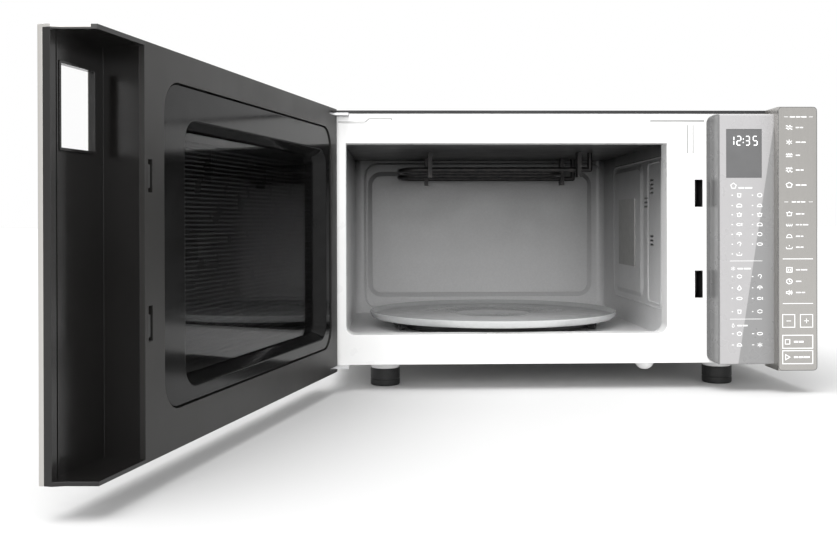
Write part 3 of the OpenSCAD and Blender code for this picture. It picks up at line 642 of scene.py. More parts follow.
def make_screen(sizes):
    """The door screen: flange, raised face, sloped well and perforated floor."""
    low, high = shut_box("door_screen")
    gauge = 0.8 * MM
    flange_front = high.y - 2.8 * MM
    floor_front = low.y + gauge
    flange = (low.x, low.z, high.x, high.z)
    face = (low.x + 9 * MM, low.z + 7.5 * MM, high.x - 13 * MM, high.z - 8.6 * MM)
    well = (low.x + 22 * MM, low.z + 18 * MM, high.x - 46 * MM, high.z - 32.6 * MM)

    def grown(box, by):
        return (box[0] - by, box[1] - by, box[2] + by, box[3] + by)

    slope = 8 * MM
    pitch = sizes.hole_pitch
    inner = grown(well, -slope)
    columns = int((inner[2] - inner[0] - 7 * MM) / pitch)
    rows = int((inner[3] - inner[1] - 7 * MM) / pitch)
    mid_x, mid_z = (inner[0] + inner[2]) / 2, (inner[1] + inner[3]) / 2
    holes = (mid_x - columns * pitch / 2, mid_z - rows * pitch / 2,
             mid_x + columns * pitch / 2, mid_z + rows * pitch / 2)

    def loop(bm, box, radius, y):
        return add_loop(bm, [(x, y, z) for x, z in round_outline(*box, radius)])

    bm = bmesh.new()
    hold, bend = 0.5 * MM, 1.0 * MM
    lean = math.atan2(high.y - floor_front, slope)
    steps = [(flange, 4 * MM, 0.0, flange_front), (face, 22 * MM, -hold, flange_front),
             (face, 22 * MM, 0.0, flange_front)]
    for share in (0.15, 0.5, 0.85, 1.0):
        turn = math.radians(90 * share)
        steps.append((face, 22 * MM, bend * (1 - math.cos(turn)), high.y - bend * (1 - math.sin(turn))))
    steps.append((face, 22 * MM, bend + hold, high.y))
    steps.append((well, 18 * MM, -hold, high.y))
    for share in (0.0, 0.35, 0.7, 1.0):
        turn = lean * share
        steps.append((well, 18 * MM, bend * math.sin(turn), high.y - bend * (1 - math.cos(turn))))
    steps.append((well, 18 * MM, bend * math.sin(lean) + hold * math.cos(lean),
                  high.y - bend * (1 - math.cos(lean)) - hold * math.sin(lean)))
    steps.append((well, 18 * MM, slope - bend * math.sin(lean) - hold * math.cos(lean),
                  floor_front + bend * (1 - math.cos(lean)) + hold * math.sin(lean)))
    for share in (1.0, 0.5, 0.0):
        turn = lean * share
        steps.append((well, 18 * MM, slope - bend * math.sin(turn), floor_front + bend * (1 - math.cos(turn))))
    steps.append((well, 18 * MM, slope + hold, floor_front))
    front = [loop(bm, grown(outline, -inset), radius - inset, y) for outline, radius, inset, y in steps]
    front.append(loop(bm, holes, 0, floor_front))
    back = [loop(bm, holes, 0, low.y), loop(bm, grown(inner, gauge), 10 * MM + gauge, low.y),
            loop(bm, grown(well, gauge), 18 * MM + gauge, high.y - 2 * gauge),
            loop(bm, grown(face, -gauge), 22 * MM - gauge, high.y - 2 * gauge),
            loop(bm, grown(face, -gauge), 22 * MM - gauge, flange_front - gauge),
            loop(bm, flange, 4 * MM, flange_front - gauge)]
    chain = front + back + [front[0]]
    for first, second in zip(chain, chain[1:]):
        if first is front[-1]:
            continue
        join_loops(bm, first, second)
    # a black ring on the flange round the raised face: painted shade for the face's shaded edge
    shade_ring = bmesh.new()
    ribbon(shade_ring, [(x / MM, z / MM) for x, z in round_outline(*grown(face, 0.7 * MM), 22.7 * MM)], 1.3,
           lambda point, lift: (point[0] * MM, flange_front + lift, point[1] * MM), 0.1 * MM, True)
    bmesh.ops.transform(shade_ring, matrix=door_turn(), verts=shade_ring.verts)
    shade_ring_piece = mesh_piece("screen_gasket", shade_ring, material("gasket_black"))
    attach(shade_ring_piece, "door")

    bmesh.ops.transform(bm, matrix=door_turn(), verts=bm.verts)
    border = mesh_piece("screen_border", bm, material("black_screen"), 40)

    tile = mesh_piece("screen_floor", holed_tile(pitch, sizes.hole_radius, floor_front - low.y))
    modifier = tile.modifiers.new("tiles", "NODES")
    modifier.node_group = screen_tree()
    set_inputs(modifier, {"Columns": columns, "Rows": rows, "Pitch": pitch, "Finish": material("black_screen")})
    bake_modifiers(tile)
    stand = Matrix.Translation((mid_x, floor_front, mid_z)) @ Matrix.Rotation(math.radians(-90), 4, "X")
    tile.data.transform(door_turn() @ stand)

    whole = joined(border, tile)
    bmesh.ops.remove_doubles(whole, verts=whole.verts, dist=2 * WELD)
    screen = mesh_piece("door_screen_perforated", whole, material("black_screen"), 40)
    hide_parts("door_screen")
    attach(screen, "door")


# ---- Cavity pressings ----

def sloped_frame(bm, box, radius, rise, spread, place, bead=False):
    """A closed ring whose face slopes up to a raised panel's edge, or over a bead and back to the wall."""
    x0, z0, x1, z1 = box
    lip, skin, buried = 1.5 * MM, 0.03 * MM, -0.3 * MM
    wide = (x0 - spread, z0 - spread, x1 + spread, z1 + spread)
    tight = (x0 + lip, z0 + lip, x1 - lip, z1 - lip)
    crest, inside, under = (rise, skin, buried) if bead else (rise * 0.8, rise + 0.2 * MM, rise - 0.4 * MM)
    steps = ((wide, radius + spread, skin), (box, radius, crest), (tight, radius - lip, inside),
             (tight, radius - lip, under), (wide, radius + spread, buried))
    loops = [add_loop(bm, [place(x, z, lift) for x, z in round_outline(*b, r)]) for b, r, lift in steps]
    for first, second in zip(loops, loops[1:] + loops[:1]):
        join_loops(bm, first, second)


def make_pressings():
    """Sloped edges of the raised panels pressed into the cavity's rear and right walls."""
    low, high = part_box("cavity_liner")
    plate_low, plate_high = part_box("turntable_plate")
    gauge = (high.z - low.z - 220.8 * MM) / 2
    rear, side = high.y - gauge, high.x - gauge

    def on_rear(x, z, lift):
        return (x, rear - lift, z)

    def on_side(y, z, lift):
        return (side - lift, y, z)

    # raised panels, then beads
    bm = bmesh.new()
    sloped_frame(bm, (plate_low.x, low.z + gauge + 29 * MM, plate_high.x, high.z - gauge - 21.8 * MM),
                 14 * MM, 3 * MM, 6 * MM, on_rear)
    sloped_frame(bm, (low.y + 89.6 * MM, low.z + gauge + 43 * MM, low.y + 229.6 * MM, high.z - gauge - 23.8 * MM),
                 10 * MM, 2.5 * MM, 5 * MM, on_side)
    sloped_frame(bm, (low.x + 15 * MM, low.z + 8 * MM, high.x - 4 * MM, high.z - 5 * MM),
                 18 * MM, 1.1 * MM, 1.5 * MM, on_rear, True)
    sloped_frame(bm, (low.y - 6 * MM, low.z + 31 * MM, high.y - 70 * MM, high.z - 15 * MM),
                 12 * MM, 1.1 * MM, 1.5 * MM, on_side, True)
    sloped_frame(bm, (low.y + 4 * MM, low.z + 36 * MM, low.y + 62 * MM, high.z - 20 * MM),
                 8 * MM, 1.2 * MM, 1.5 * MM, on_side, True)
    pressings = mesh_piece("cavity_pressings", bm, material("cavity_steel"), 50)
    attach(pressings, "cabinet")


# ---- Screws and feet, repeated on points ----

def repeated(name, places, shape_bm, finish, turn, seed, smooth=35):
    """One mesh holding the shape at every place."""
    shape = mesh_piece(name + "_shape", shape_bm, None, smooth)
    points = bmesh.new()
    for place in places:
        points.verts.new(place)
    mesh = bpy.data.meshes.new(name)
    points.to_mesh(mesh)
    points.free()
    piece = bpy.data.objects.new(name, mesh)
    bpy.context.scene.collection.objects.link(piece)
    modifier = piece.modifiers.new("copies", "NODES")
    modifier.node_group = scatter_tree(name + "_copies")
    set_inputs(modifier, {"Shape": shape, "Turn": turn, "Seed": seed, "Finish": finish})
    bake_modifiers(piece)
    bpy.data.objects.remove(shape)
    return piece


def screw_head(radius, height, shank_radius, shank):
    """A pan head with a cross recess and its shank, the head rising along +Z from 0."""
    bm = bmesh.new()
    segments = 40
    shares = (0.99, 0.95, 0.88, 0.78, 0.66, 0.6, 0.52, 0.4, 0.28, 0.18, 0.1)

    def top(share):
        return height * (0.45 + 0.55 * math.sqrt(max(0.0, 1 - share ** 2.4)))

    rings = [add_circle(bm, r, z, segments) for r, z in (
        (shank_radius * 0.6, -shank), (shank_radius, -shank * 0.92), (shank_radius, 0.0), (radius, 0.0),
        (radius, height * 0.4))]
    for share in shares:
        points = []
        for k in range(segments):
            a = 2 * math.pi * k / segments
            x, y = share * math.cos(a), share * math.sin(a)
            recessed = share < 0.63 and min(abs(x), abs(y)) < 0.12
            points.append((radius * x, radius * y, top(share) - (height * 0.42 if recessed else 0.0)))
        rings.append(add_loop(bm, points))
    for low, high in zip(rings, rings[1:]):
        join_loops(bm, low, high)
    bm.faces.new(list(reversed(rings[0])))
    centre = bm.verts.new((0, 0, top(0) - height * 0.45))
    for k in range(segments):
        bm.faces.new((rings[-1][k], rings[-1][(k + 1) % segments], centre))
    return bm


def make_screws(sizes):
    """Pan-head screws of the case and of the hinge brackets."""
    finish = material("zinc_steel")
    boxes = islands("case_screws")
    places = [(middle(lo.x, hi.x), hi.y - 2 * MM, middle(lo.z, hi.z)) for lo, hi in boxes]
    head = turned(screw_head((boxes[0][1].x - boxes[0][0].x) / 2, 2 * MM, 1.5 * MM, 7 * MM), -90)
    about_y, about_z = (0, 2 * math.pi, 0), (0, 0, 2 * math.pi)
    case = repeated("case_screw_heads", places, head, finish, about_y, sizes.seed)
    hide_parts("case_screws")
    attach(case, "cabinet")

    # the lower bracket's screws are driven up from below, the upper one's forwards
    low_places, high_places = [], []
    for lo, hi in islands("hinge_screws"):
        if lo.z < 0.1:
            low_places.append((middle(lo.x, hi.x), middle(lo.y, hi.y), hi.z))
        else:
            high_places.append((middle(lo.x, hi.x), lo.y, middle(lo.z, hi.z)))
    radius, shank_radius, shank = 3.5 * MM, 1.2 * MM, 0.1 * MM
    lower = repeated("hinge_screws_lower", low_places, turned(screw_head(radius, 1.6 * MM, shank_radius, shank), 180),
                     finish, about_z, sizes.seed + 1)
    upper = repeated("hinge_screws_upper", high_places,
                     turned(screw_head(radius, 1.8 * MM, shank_radius, shank), -90), finish, about_y, sizes.seed + 2)
    hinge = mesh_piece("hinge_screw_heads", joined(lower, upper), finish, 35)
    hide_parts("hinge_screws")
    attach(hinge, "cabinet")


def make_feet(sizes):
    """Turned rubber feet with a moulded groove."""
    boxes = islands("feet")
    radius = (boxes[0][1].x - boxes[0][0].x) / 2
    height = boxes[0][1].z - boxes[0][0].z
    bm = bmesh.new()
    profile = [(0, 5 * MM), (6 * MM, 5 * MM), (6 * MM, 0.6 * MM), (6.6 * MM, 0), (radius - 1.6 * MM, 0),
               (radius - 0.7 * MM, 0.4 * MM), (radius - 0.15 * MM, 1.2 * MM), (radius, 2.2 * MM),
               (radius, height * 0.34), (radius - 0.5 * MM, height * 0.36), (radius - 0.5 * MM, height * 0.4),
               (radius, height * 0.42), (radius, height - 1.2 * MM), (radius - 0.3 * MM, height - 0.4 * MM),
               (radius - 1.1 * MM, height), (0, height)]
    lathe(bm, profile)
    places = [(middle(lo.x, hi.x), middle(lo.y, hi.y), lo.z) for lo, hi in boxes]
    feet = repeated("rubber_feet", places, bm, material("foot_rubber"), (0, 0, 2 * math.pi), sizes.seed + 3)
    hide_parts("feet")
    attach(feet, "cabinet")


# ---- Turntable plate ----

def make_plate():
    """Pressed glass plate with a turned-up rim, rings and drive lugs."""
    low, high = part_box("turntable_plate")
    radius = (high.x - low.x) / 2
    centre = (middle(low.x, high.x), middle(low.y, high.y))
    base = high.z - 9 * MM
    r = radius / MM
    bottom = [(0, 0), (r * 0.5, 0), (r - 12, 0), (r - 7, 0.1), (r - 4.6, 0.6), (r - 2.6, 1.8), (r - 1.3, 3.6),
              (r - 0.5, 5.8), (r - 0.1, 7.6), (r, 8.2)]
    top = [(r - 0.2, 8.7), (r - 0.8, 9), (r - 1.6, 8.9), (r - 2.4, 8.2), (r - 3.4, 6.4), (r - 4.6, 5), (r - 6.4, 4.2),
           (r - 9, 4)]
    ring = r * 0.3
    rings = [(ring + 1.6, 4), (ring + 0.9, 4.12), (ring, 4.18), (ring - 0.9, 4.12), (ring - 1.6, 4)]
    profile = [(x * MM, z * MM) for x, z in bottom + top + rings + [(0, 4)]]
    bm = bmesh.new()
    lathe(bm, profile, 128, (centre[0], centre[1], base))
    for angle in (60, 180, 300):
        a = math.radians(angle)
        spot = (centre[0] + 14 * MM * math.cos(a), centre[1] + 14 * MM * math.sin(a), base)
        lug = ((0, -4), (2.4, -4), (3, -3.4), (3, 0.4), (0, 0.4))
        lathe(bm, [(x * MM, z * MM) for x, z in lug], 20, spot)
    plate = mesh_piece("glass_plate", bm, material("plate_glass"), 40)
    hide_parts("turntable_plate")
    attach(plate, "plate")


# ---- Printed marks ----

def ribbon(bm, points, width, to_place, depth, closed=False):
    """A flat line of ink along the points, as a closed thin solid."""
    count = len(points)
    sides = []
    for i, point in enumerate(points):
        before = points[i - 1] if (i or closed) else None
        after = points[(i + 1) % count] if (i < count - 1 or closed) else None
        here = Vector(point)
        runs = []
        if before is not None:
            runs.append((here - Vector(before)).normalized())
        if after is not None:
            runs.append((Vector(after) - here).normalized())
        normals = [Vector((-d.y, d.x)) for d in runs]
        total = sum(normals, Vector((0, 0)))
        across = total.normalized() if total.length > WELD else normals[0]
        stretch = min(1 / max(across.dot(normals[0]), 0.35), 2.0)
        offset = across * (width / 2 * stretch)
        sides.append((here + offset, here - offset))
    quads = []
    for left, right in sides:
        quads.append([bm.verts.new(to_place(p, d)) for p, d in
                      ((left, depth), (right, depth), (right, 0.0), (left, 0.0))])
    for i in range(count if closed else count - 1):
        a, b = quads[i], quads[(i + 1) % count]
        for k in range(4):
            j = (k + 1) % 4
            bm.faces.new((a[k], b[k], b[j], a[j]))
    if not closed:
        bm.faces.new(quads[0])
        bm.faces.new(list(reversed(quads[-1])))


def arc(cx, cy, rx, ry, start, end, steps=14):
    return [(cx + rx * math.cos(math.radians(start + (end - start) * k / steps)),
             cy + ry * math.sin(math.radians(start + (end - start) * k / steps))) for k in range(steps + 1)]


def wave(y, height, turns=2.0, steps=20):
    return [(-1 + 2 * k / steps, y + height * math.sin(2 * math.pi * turns * k / steps)) for k in range(steps + 1)]


def zigzag(y, height, teeth=4):
    return [(-1 + k / teeth, y + (height if k % 2 else -height)) for k in range(2 * teeth + 1)]


def ring(cx, cy, rx, ry, steps=24):
    return arc(cx, cy, rx, ry, 0, 360 * (steps - 1) / steps, steps - 1)


def box_line(x0, y0, x1, y1):
    return [(x0, y0), (x1, y0), (x1, y1), (x0, y1)]


# Symbols as (points, closed) lines in a box from -1 to 1
SYMBOLS = {
    "waves": [(wave(0.45, 0.3), False), (wave(-0.45, 0.3), False)],
    "flake": [([(0, -1), (0, 1)], False), ([(-0.87, -0.5), (0.87, 0.5)], False),
              ([(-0.87, 0.5), (0.87, -0.5)], False)],
    "grill": [(zigzag(0.3, 0.28), False), ([(-1, -0.5), (1, -0.5)], False)],
    "combo": [(zigzag(0.6, 0.25), False), (wave(-0.45, 0.35), False)],
    "pentagon": [([(math.sin(math.radians(72 * k)), math.cos(math.radians(72 * k))) for k in range(5)], True)],
    "pot": [([(-0.7, 0.4), (-0.6, -0.7), (0.6, -0.7), (0.7, 0.4)], False), ([(-1, 0.5), (1, 0.5)], False),
            ([(-0.2, 0.85), (0.2, 0.85)], False)],
    "cups": [(arc(-0.65, 0.3, 0.28, 0.8, 180, 360), False), (arc(0, 0.3, 0.28, 0.8, 180, 360), False),
             (arc(0.65, 0.3, 0.28, 0.8, 180, 360), False)],
    "dome": [(arc(0, -0.3, 0.8, 0.95, 0, 180), False), ([(-1, -0.5), (1, -0.5)], False)],
    "tray": [([(-1, 0.1), (-0.8, -0.6), (0.8, -0.6), (1, 0.1)], False), ([(0, 0.3), (0, 0.8)], False)],
    "oval": [(ring(0, 0, 1, 0.55), True)],
    "round": [(ring(0, 0, 0.8, 0.8), True)],
    "leaf": [(arc(0, -0.6, 1.1, 1.4, 35, 145), False), (arc(0, 0.75, 1.1, 1.4, 215, 325), False)],
    "drop": [([(0, 1)] + arc(0, -0.25, 0.65, 0.7, 20, -200, 16), True)],
    "fish": [(ring(-0.2, 0, 0.75, 0.5), True), ([(0.5, 0), (1, 0.45), (1, -0.45)], True)],
    "loaf": [([(-0.9, -0.6)] + arc(0, 0, 0.9, 0.7, 180, 0, 12) + [(0.9, -0.6)], True)],
    "cup": [([(-0.6, 0.7), (-0.5, -0.8), (0.5, -0.8), (0.6, 0.7)], True)],
    "hook": [(arc(0, 0.3, 0.6, 0.6, 200, -60, 14) + [(0.3, -0.9)], False)],
    "umbrella": [(arc(0, 0, 0.9, 0.8, 0, 180), True), ([(0, 0), (0, -0.9)], False)],
    "square": [(box_line(-0.8, -0.8, 0.8, 0.8), True)],
    "clean": [(box_line(-0.85, -0.85, 0.85, 0.85), True), ([(-0.3, -0.35), (-0.3, 0.35)], False),
              ([(0.3, -0.35), (0.3, 0.35)], False)],
    "clock": [(ring(0, 0, 0.9, 0.9), True), ([(0, 0.5), (0, 0), (0.35, -0.2)], False)],
    "bell": [([(-0.95, -0.3), (-0.5, -0.3), (-0.05, -0.75), (-0.05, 0.75), (-0.5, 0.3), (-0.95, 0.3)], True),
             (arc(0.1, 0, 0.35, 0.5, -60, 60, 8), False), (arc(0.15, 0, 0.7, 0.85, -60, 60, 8), False)],
    "minus": [([(-0.8, 0), (0.8, 0)], False)],
    "plus": [([(-0.8, 0), (0.8, 0)], False), ([(0, -0.8), (0, 0.8)], False)],
    "play": [([(-0.7, -0.9), (0.85, 0), (-0.7, 0.9)], True)],
}
# Lit bars of a seven-bar digit: top, upper left, upper right, middle, lower left, lower right, bottom
DIGIT_BARS = {"1": "RC", "2": "TRMLB", "3": "TRMCB", "5": "TUMCB"}
BAR_ENDS = {"T": ((-1, 1), (1, 1)), "M": ((-1, 0), (1, 0)), "B": ((-1, -1), (1, -1)), "U": ((-1, 1), (-1, 0)),
            "R": ((1, 1), (1, 0)), "L": ((-1, 0), (-1, -1)), "C": ((1, 0), (1, -1))}


class Print:
    """Ink on a front face, placed in millimetres from the face's left and top edges."""

    def __init__(self, left, top, front, depth):
        self.bm = bmesh.new()
        self.left, self.top, self.front, self.depth = left, top, front, depth

    def place(self, point, lift):
        return (self.left + point[0] * MM, self.front - lift, self.top - point[1] * MM)

    def line(self, points, width=0.6, closed=False):
        ribbon(self.bm, points, width, self.place, self.depth, closed)

    def symbol(self, name, x, down, half_x, half_z, width=0.6):
        for points, closed in SYMBOLS[name]:
            self.line([(x + u * half_x, down - w * half_z) for u, w in points], width, closed)

    def bars(self, x, down, lengths, width=1.5, gap=1.0):
        """A row of short bars, standing for a plain legend."""
        for length in lengths:
            self.line([(x, down), (x + length, down)], width)
            x += length + gap

    def piece(self, name, finish, body):
        made = mesh_piece(name, self.bm, finish)
        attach(made, body)
        return made


def make_strip_print(sizes):
    """Symbols and key outlines on the touch strip."""
    low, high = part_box("touch_glass")
    ink = Print(high.x - 41.6 * MM, high.z, low.y, sizes.ink_depth)
    for down, start, length in ((11.0, 11.5, 19.0), (103.8, 13.5, 15.0)):
        ink.line([(5.2, down), (9.6, down)], 0.5)
        ink.line([(32.4, down), (36.8, down)], 0.5)
        ink.bars(start, down, (length * 0.3, length * 0.26, length * 0.3), 1.3)
    rows = ((22.6, "waves", (3.6, 3.4)), (38.6, "flake", (5.2, 4.8)), (52.9, "grill", (4.6,)),
            (69.0, "combo", (4.2, 3.4)), (85.4, "pentagon", (5.0, 5.8)), (116.9, "pot", (5.2, 3.0)),
            (128.7, "cups", (3.2, 2.4, 6.0)), (141.3, "dome", (4.6, 2.6)), (153.2, "tray", (4.0, 3.4)),
            (177.9, "clean", (4.6, 6.8)), (190.5, "clock", (5.8,)), (202.7, "bell", (5.4, 3.6)))
    for down, name, lengths in rows:
        bold = 0.95 if name in ("pentagon", "clean", "clock") else 0.8
        ink.symbol(name, 10.7, down, 3.5, 2.9, bold)
        ink.bars(18.0, down, lengths, 1.25)
    for down in (166.0, 214.7):
        ink.line([(3.4, down), (36.8, down)], 0.8)
    for x0, x1, name in ((3.2, 16.6, "minus"), (22.8, 36.4, "plus")):
        ink.line(box_line(x0, 226.8, x1, 240.6), 0.8, True)
        ink.symbol(name, (x0 + x1) / 2, 233.7, 3.2, 3.2, 0.7)
    for top, bottom, name, lengths in ((249.4, 263.6, "square", (4.4, 5.4)),
                                       (266.2, 280.4, "play", (4.4, 4.4, 7.0))):
        ink.line(box_line(3.2, top, 36.4, bottom), 0.95, True)
        ink.symbol(name, 8.6, (top + bottom) / 2, 3.1, 3.1, 0.85)
        ink.bars(15.6, (top + bottom) / 2, lengths, 1.9, 0.9)
    ink.piece("strip_print", material("white_ink"), "cabinet")
    edge = Print(low.x, high.z, low.y, sizes.ink_depth)
    wide, tall = (high.x - low.x) / MM, (high.z - low.z) / MM
    edge.line(round_outline(0.45, 0.45, wide - 0.45, tall - 0.45, 3.6), 0.6, True)
    edge.piece("strip_edge", material("edge_print"), "cabinet")


def make_frame_crease_shade(sizes):
    """Painted shade: grey lines beside the ribs pressed into the front frame, standing in for the ribs' shaded sides.
    """
    low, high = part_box("front_frame")
    rib = 0.5 * MM
    shade = Print(low.x, high.z, low.y + rib, rib + sizes.ink_depth)
    left, top = low.x / MM, high.z / MM
    for points, width in (
            (((14.5, 300.4), (44.5, 300.4), (49, 304.4), (73.6, 304.4), (74.2, 302.4)), 1.1),
            (((96 - left, 302.0), (157 - left, 302.0)), 1.7),
            (((138.2 - left, 297.2), (138.2 - left, 265.6)), 0.8),
            (((144.6 - left, 297.2), (144.6 - left, 265.6)), 0.8)):
        shade.line([(x, top - z) for x, z in points], width)
    shade.piece("frame_creases", material("crease_grey"), "cabinet")


def make_panel_print(sizes):
    """Symbols on the control panel."""
    face_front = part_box("control_panel")[0].y
    lens_low, lens_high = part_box("display_window")
    ink = Print(lens_low.x - 4.6 * MM, lens_high.z + 10.8 * MM, face_front, sizes.ink_depth)

    def rows(pairs, mark, width):
        """Rows of two symbols, each with a short mark before it."""
        for down, *names in pairs:
            for name, mark_x, x in zip(names, (10.4, 33.0), (19.0, 41.8)):
                ink.line([(mark_x, down), (mark_x + mark, down)], width)
                ink.symbol(name, x, down, 3.0, 2.5, 0.8)

    ink.symbol("pentagon", 12.6, 73.4, 3.2, 3.1, 0.8)
    ink.bars(18.2, 75.6, (6.4, 8.0), 1.5)
    rows(((83.6, "cup", "round"), (95.1, "loaf", "dome"), (105.2, "pot", "pot"), (116.0, "fish", "loaf"),
          (126.8, "umbrella", "leaf"), (137.6, "hook", "oval"), (148.4, "tray")), 1.5, 1.0)
    ink.line([(8.5, 156.1), (44.6, 156.1)], 0.5)
    ink.symbol("flake", 12.0, 164.6, 2.6, 2.3, 0.55)
    ink.bars(17.0, 164.6, (6.0, 7.6), 1.5)
    rows(((173.4, "leaf", "hook"), (185.8, "drop", "umbrella"), (197.5, "oval", "fish"), (212.0, "cup", "leaf")),
         1.5, 1.0)
    ink.line([(8.5, 220.2), (44.0, 220.2)], 0.5)
    ink.symbol("drop", 12.0, 227.2, 1.8, 2.2, 0.55)
    ink.bars(16.6, 227.4, (5.0, 5.4), 1.5)
    rows(((236.4, "round", "oval"), (248.7, "dome", "flake")), 2.4, 0.8)
    ink.piece("panel_print", material("white_ink"), "cabinet")


def make_clock():
    """Lit digits of the clock behind the lens."""
    low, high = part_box("display_window")
    lit = Print(low.x, high.z, low.y, 0.08 * MM)
    centre, half_z, half_x = 12.8, 4.9, 2.2
    for digit, x in (("1", 6.4), ("2", 14.2), ("3", 23.8), ("5", 32.4)):
        for bar in DIGIT_BARS[digit]:
            (u0, w0), (u1, w1) = BAR_ENDS[bar]
            a = Vector((x + u0 * half_x, centre - w0 * half_z))
            b = Vector((x + u1 * half_x, centre - w1 * half_z))
            short = (b - a).normalized() * 0.55
            lit.line([tuple(a + short), tuple(b - short)], 0.95)
    for down in (centre - 1.9, centre + 1.9):
        lit.line([(19.1, down - 0.6), (19.1, down + 0.6)], 1.0)
    lit.piece("clock_digits", material("lit_digits"), "cabinet")


# ---- Stage ----

def make_stage(colours):
    """Floor, sky, lights and camera."""
    bm = bmesh.new()
    reach = 30.0
    bm.faces.new(add_loop(bm, ((-reach, -reach, 0), (reach, -reach, 0), (reach, reach, 0), (-reach, reach, 0))))
    floor_finish = Finish("pale_floor")
    tones = floor_finish.colours(floor_finish.noise(1.5), (0.56, 0.56, 0.56), (0.57, 0.57, 0.57))
    floor_finish.set(Base_Color=tones, Roughness=0.8)
    floor = mesh_piece("floor", bm, floor_finish.material)
    if floor.data.polygons[0].normal.z < 0:
        floor.data.flip_normals()

    scene = bpy.context.scene
    scene.view_settings.view_transform = "Standard"
    world = bpy.data.worlds.new("studio")
    world.use_nodes = True
    sky = world.node_tree.nodes["Background"]
    sky.inputs["Color"].default_value = (*colours.sky, 1)
    sky.inputs["Strength"].default_value = 1.0
    scene.world = world

    sun = bpy.data.lights.new("soft_sun", "SUN")
    sun.energy, sun.angle = 3.1, math.radians(50)
    front = bpy.data.lights.new("soft_front", "AREA")
    front.shape = "RECTANGLE"
    front.size, front.size_y, front.energy = 1.8, 1.0, 16
    for light, place, aim in ((sun, (0, 0, 0), (0.22, 0.3, -1)), (front, (-0.3, -2.4, 0.7), (-0.1, -0.1, 0.2))):
        lamp = bpy.data.objects.new(light.name, light)
        lamp.location = place
        lamp.rotation_euler = (Vector(aim) - Vector(place)).to_track_quat("-Z", "Y").to_euler()
        scene.collection.objects.link(lamp)

    camera = bpy.data.cameras.new("camera")
    camera.lens = CAMERA_LENS
    camera.sensor_width = 36.0
    camera.shift_y = CAMERA_SHIFT
    camera.clip_start, camera.clip_end = 0.05, 100.0
    eye = bpy.data.objects.new("camera", camera)
    yaw, pitch, roll = (math.radians(a) for a in (CAMERA_YAW, CAMERA_PITCH, CAMERA_ROLL))
    forward = Vector((math.sin(yaw) * math.cos(pitch), math.cos(yaw) * math.cos(pitch), -math.sin(pitch)))
    right = Vector((math.cos(yaw), -math.sin(yaw), 0.0))
    up = right.cross(forward)
    right, up = right * math.cos(roll) + up * math.sin(roll), up * math.cos(roll) - right * math.sin(roll)
    eye.matrix_world = Matrix.Translation(CAMERA_PLACE) @ Matrix((right, up, -forward)).transposed().to_4x4()
    scene.collection.objects.link(eye)
    scene.camera = eye


# ---- Settings, operators and panel ----

class OvenSizes(bpy.types.PropertyGroup):
    """Sizes of the pieces that are built here."""

    hole_pitch: FloatProperty(name="Hole Pitch", description="Spacing of the holes in the door screen",
                              default=3.6 * MM, min=2 * MM, max=8 * MM, precision=5, unit="LENGTH")
    hole_radius: FloatProperty(name="Hole Radius", description="Radius of a hole in the door screen",
                               default=1.22 * MM, min=0.4 * MM, max=3 * MM, precision=5, unit="LENGTH")
    ink_depth: FloatProperty(name="Ink Depth", description="How far printed ink stands off its face",
                             default=0.06 * MM, min=0.02 * MM, max=0.3 * MM, precision=6, unit="LENGTH")
    seed: IntProperty(name="Seed", description="Seed for how the screws are turned", default=5, min=0)


class OvenColours(bpy.types.PropertyGroup):
    """Colours of the finishes a user would change."""

    silver: FloatVectorProperty(name="Silver", description="Silver of the trim and the touch strip",
                                subtype="COLOR", default=(0.475, 0.462, 0.44), min=0, max=1)
    # painted reflection: the pale field of the control panel, left of the slanting line
    panel_reflection_pale: FloatVectorProperty(name="Panel Pale", description="Pale field of the control panel",
                                    subtype="COLOR", default=(0.42, 0.413, 0.417), min=0, max=1)
    # painted reflection: the deeper field of the control panel, past the slanting line
    panel_reflection_deep: FloatVectorProperty(name="Panel Deep", description="Deeper field of the control panel",
                                    subtype="COLOR", default=(0.262, 0.261, 0.262), min=0, max=1)
    # painted shade on the control panel's flank
    panel_flank_shade: FloatVectorProperty(name="Panel Flank", description="Side of the control panel",
                                     subtype="COLOR", default=(0.21, 0.21, 0.211), min=0, max=1)
    # lean of the painted reflection's edge on the control panel
    reflection_slant: FloatProperty(name="Panel Slant", description="Lean of the line between the two fields",
                         default=0.152, min=0, max=1)
    smoked: FloatVectorProperty(name="Smoked Glass", description="Tint of the door's inner glass",
                                subtype="COLOR", default=(0.6, 0.6, 0.605), min=0, max=1)
    ink: FloatVectorProperty(name="Ink", description="Printed marks", subtype="COLOR",
                             default=(0.96, 0.96, 0.96), min=0, max=1)
    sky: FloatVectorProperty(name="Sky", description="Colour of the light all round", subtype="COLOR",
                             default=(1.0, 1.0, 1.0), min=0, max=1)


class OVEN_OT_finishes(bpy.types.Operator):
    """Give every node of the frame its finish"""

    bl_idname = "oven.finishes"
    bl_label = "Finishes"

    def execute(self, context):
        paint_nodes()
        return {"FINISHED"}


class OVEN_OT_screen(bpy.types.Operator):
    """Build the door's silver print and its perforated screen"""

    bl_idname = "oven.screen"
    bl_label = "Door Screen"

    def execute(self, context):
        make_silver_print()
        make_screen(context.scene.oven_sizes)
        return {"FINISHED"}


class OVEN_OT_pressings(bpy.types.Operator):
    """Build the sloped edges of the cavity's raised panels"""

    bl_idname = "oven.pressings"
    bl_label = "Cavity Pressings"

    def execute(self, context):
        make_pressings()
        return {"FINISHED"}


class OVEN_OT_screws(bpy.types.Operator):
    """Build the case screws and hinge screws"""

    bl_idname = "oven.screws"
    bl_label = "Screws"

    def execute(self, context):
        make_screws(context.scene.oven_sizes)
        return {"FINISHED"}


class OVEN_OT_feet(bpy.types.Operator):
    """Build the rubber feet"""

    bl_idname = "oven.feet"
    bl_label = "Feet"

    def execute(self, context):
        make_feet(context.scene.oven_sizes)
        return {"FINISHED"}


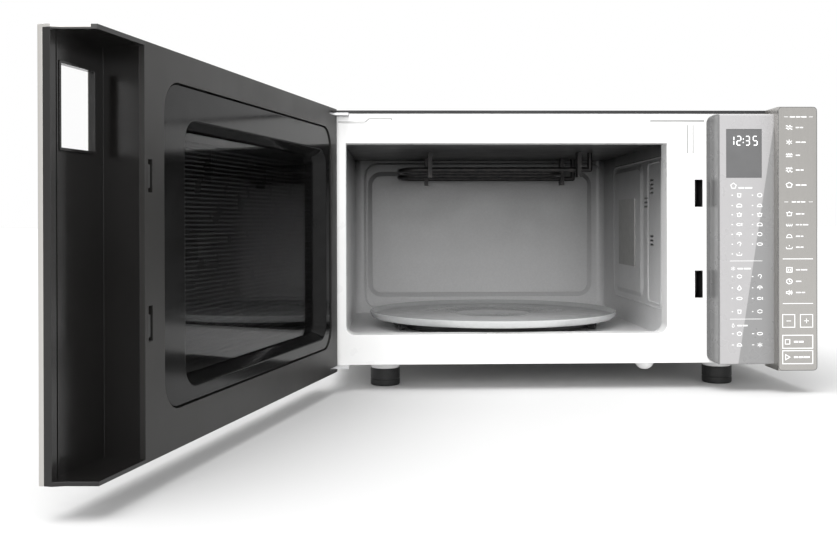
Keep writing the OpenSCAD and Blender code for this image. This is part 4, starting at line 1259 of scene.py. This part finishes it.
class OVEN_OT_plate(bpy.types.Operator):
    """Build the glass turntable plate"""

    bl_idname = "oven.plate"
    bl_label = "Turntable Plate"

    def execute(self, context):
        make_plate()
        return {"FINISHED"}


class OVEN_OT_marks(bpy.types.Operator):
    """Print the symbols and light the clock"""

    bl_idname = "oven.marks"
    bl_label = "Printed Marks"

    def execute(self, context):
        for make in (make_strip_print, make_frame_crease_shade, make_panel_print):
            make(context.scene.oven_sizes)
        make_clock()
        return {"FINISHED"}


class OVEN_OT_stage(bpy.types.Operator):
    """Build the floor, lights and camera"""

    bl_idname = "oven.stage"
    bl_label = "Stage"

    def execute(self, context):
        make_stage(context.scene.oven_colours)
        return {"FINISHED"}


OPERATORS = (OVEN_OT_finishes, OVEN_OT_screen, OVEN_OT_pressings, OVEN_OT_screws, OVEN_OT_feet, OVEN_OT_plate,
             OVEN_OT_marks, OVEN_OT_stage)


class OVEN_PT_panel(bpy.types.Panel):
    """Lists the oven's sizes, colours and building steps."""

    bl_idname = "OVEN_PT_panel"
    bl_label = "Microwave Oven"
    bl_space_type = "VIEW_3D"
    bl_region_type = "UI"
    bl_category = "Oven"

    def draw(self, context):
        scene = context.scene
        for name in OvenSizes.__annotations__:
            self.layout.prop(scene.oven_sizes, name)
        for name in OvenColours.__annotations__:
            self.layout.prop(scene.oven_colours, name)
        for step in OPERATORS:
            self.layout.operator(step.bl_idname)


CLASSES = (OvenSizes, OvenColours, *OPERATORS, OVEN_PT_panel)


def register():
    for item in CLASSES:
        bpy.utils.register_class(item)
    bpy.types.Scene.oven_sizes = PointerProperty(type=OvenSizes)
    bpy.types.Scene.oven_colours = PointerProperty(type=OvenColours)


def unregister():
    del bpy.types.Scene.oven_colours
    del bpy.types.Scene.oven_sizes
    for item in reversed(CLASSES):
        bpy.utils.unregister_class(item)


def main():
    register()
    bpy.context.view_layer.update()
    for step in OPERATORS:
        group, name = step.bl_idname.split(".")
        getattr(getattr(bpy.ops, group), name)()


if __name__ == "__main__":
    main()
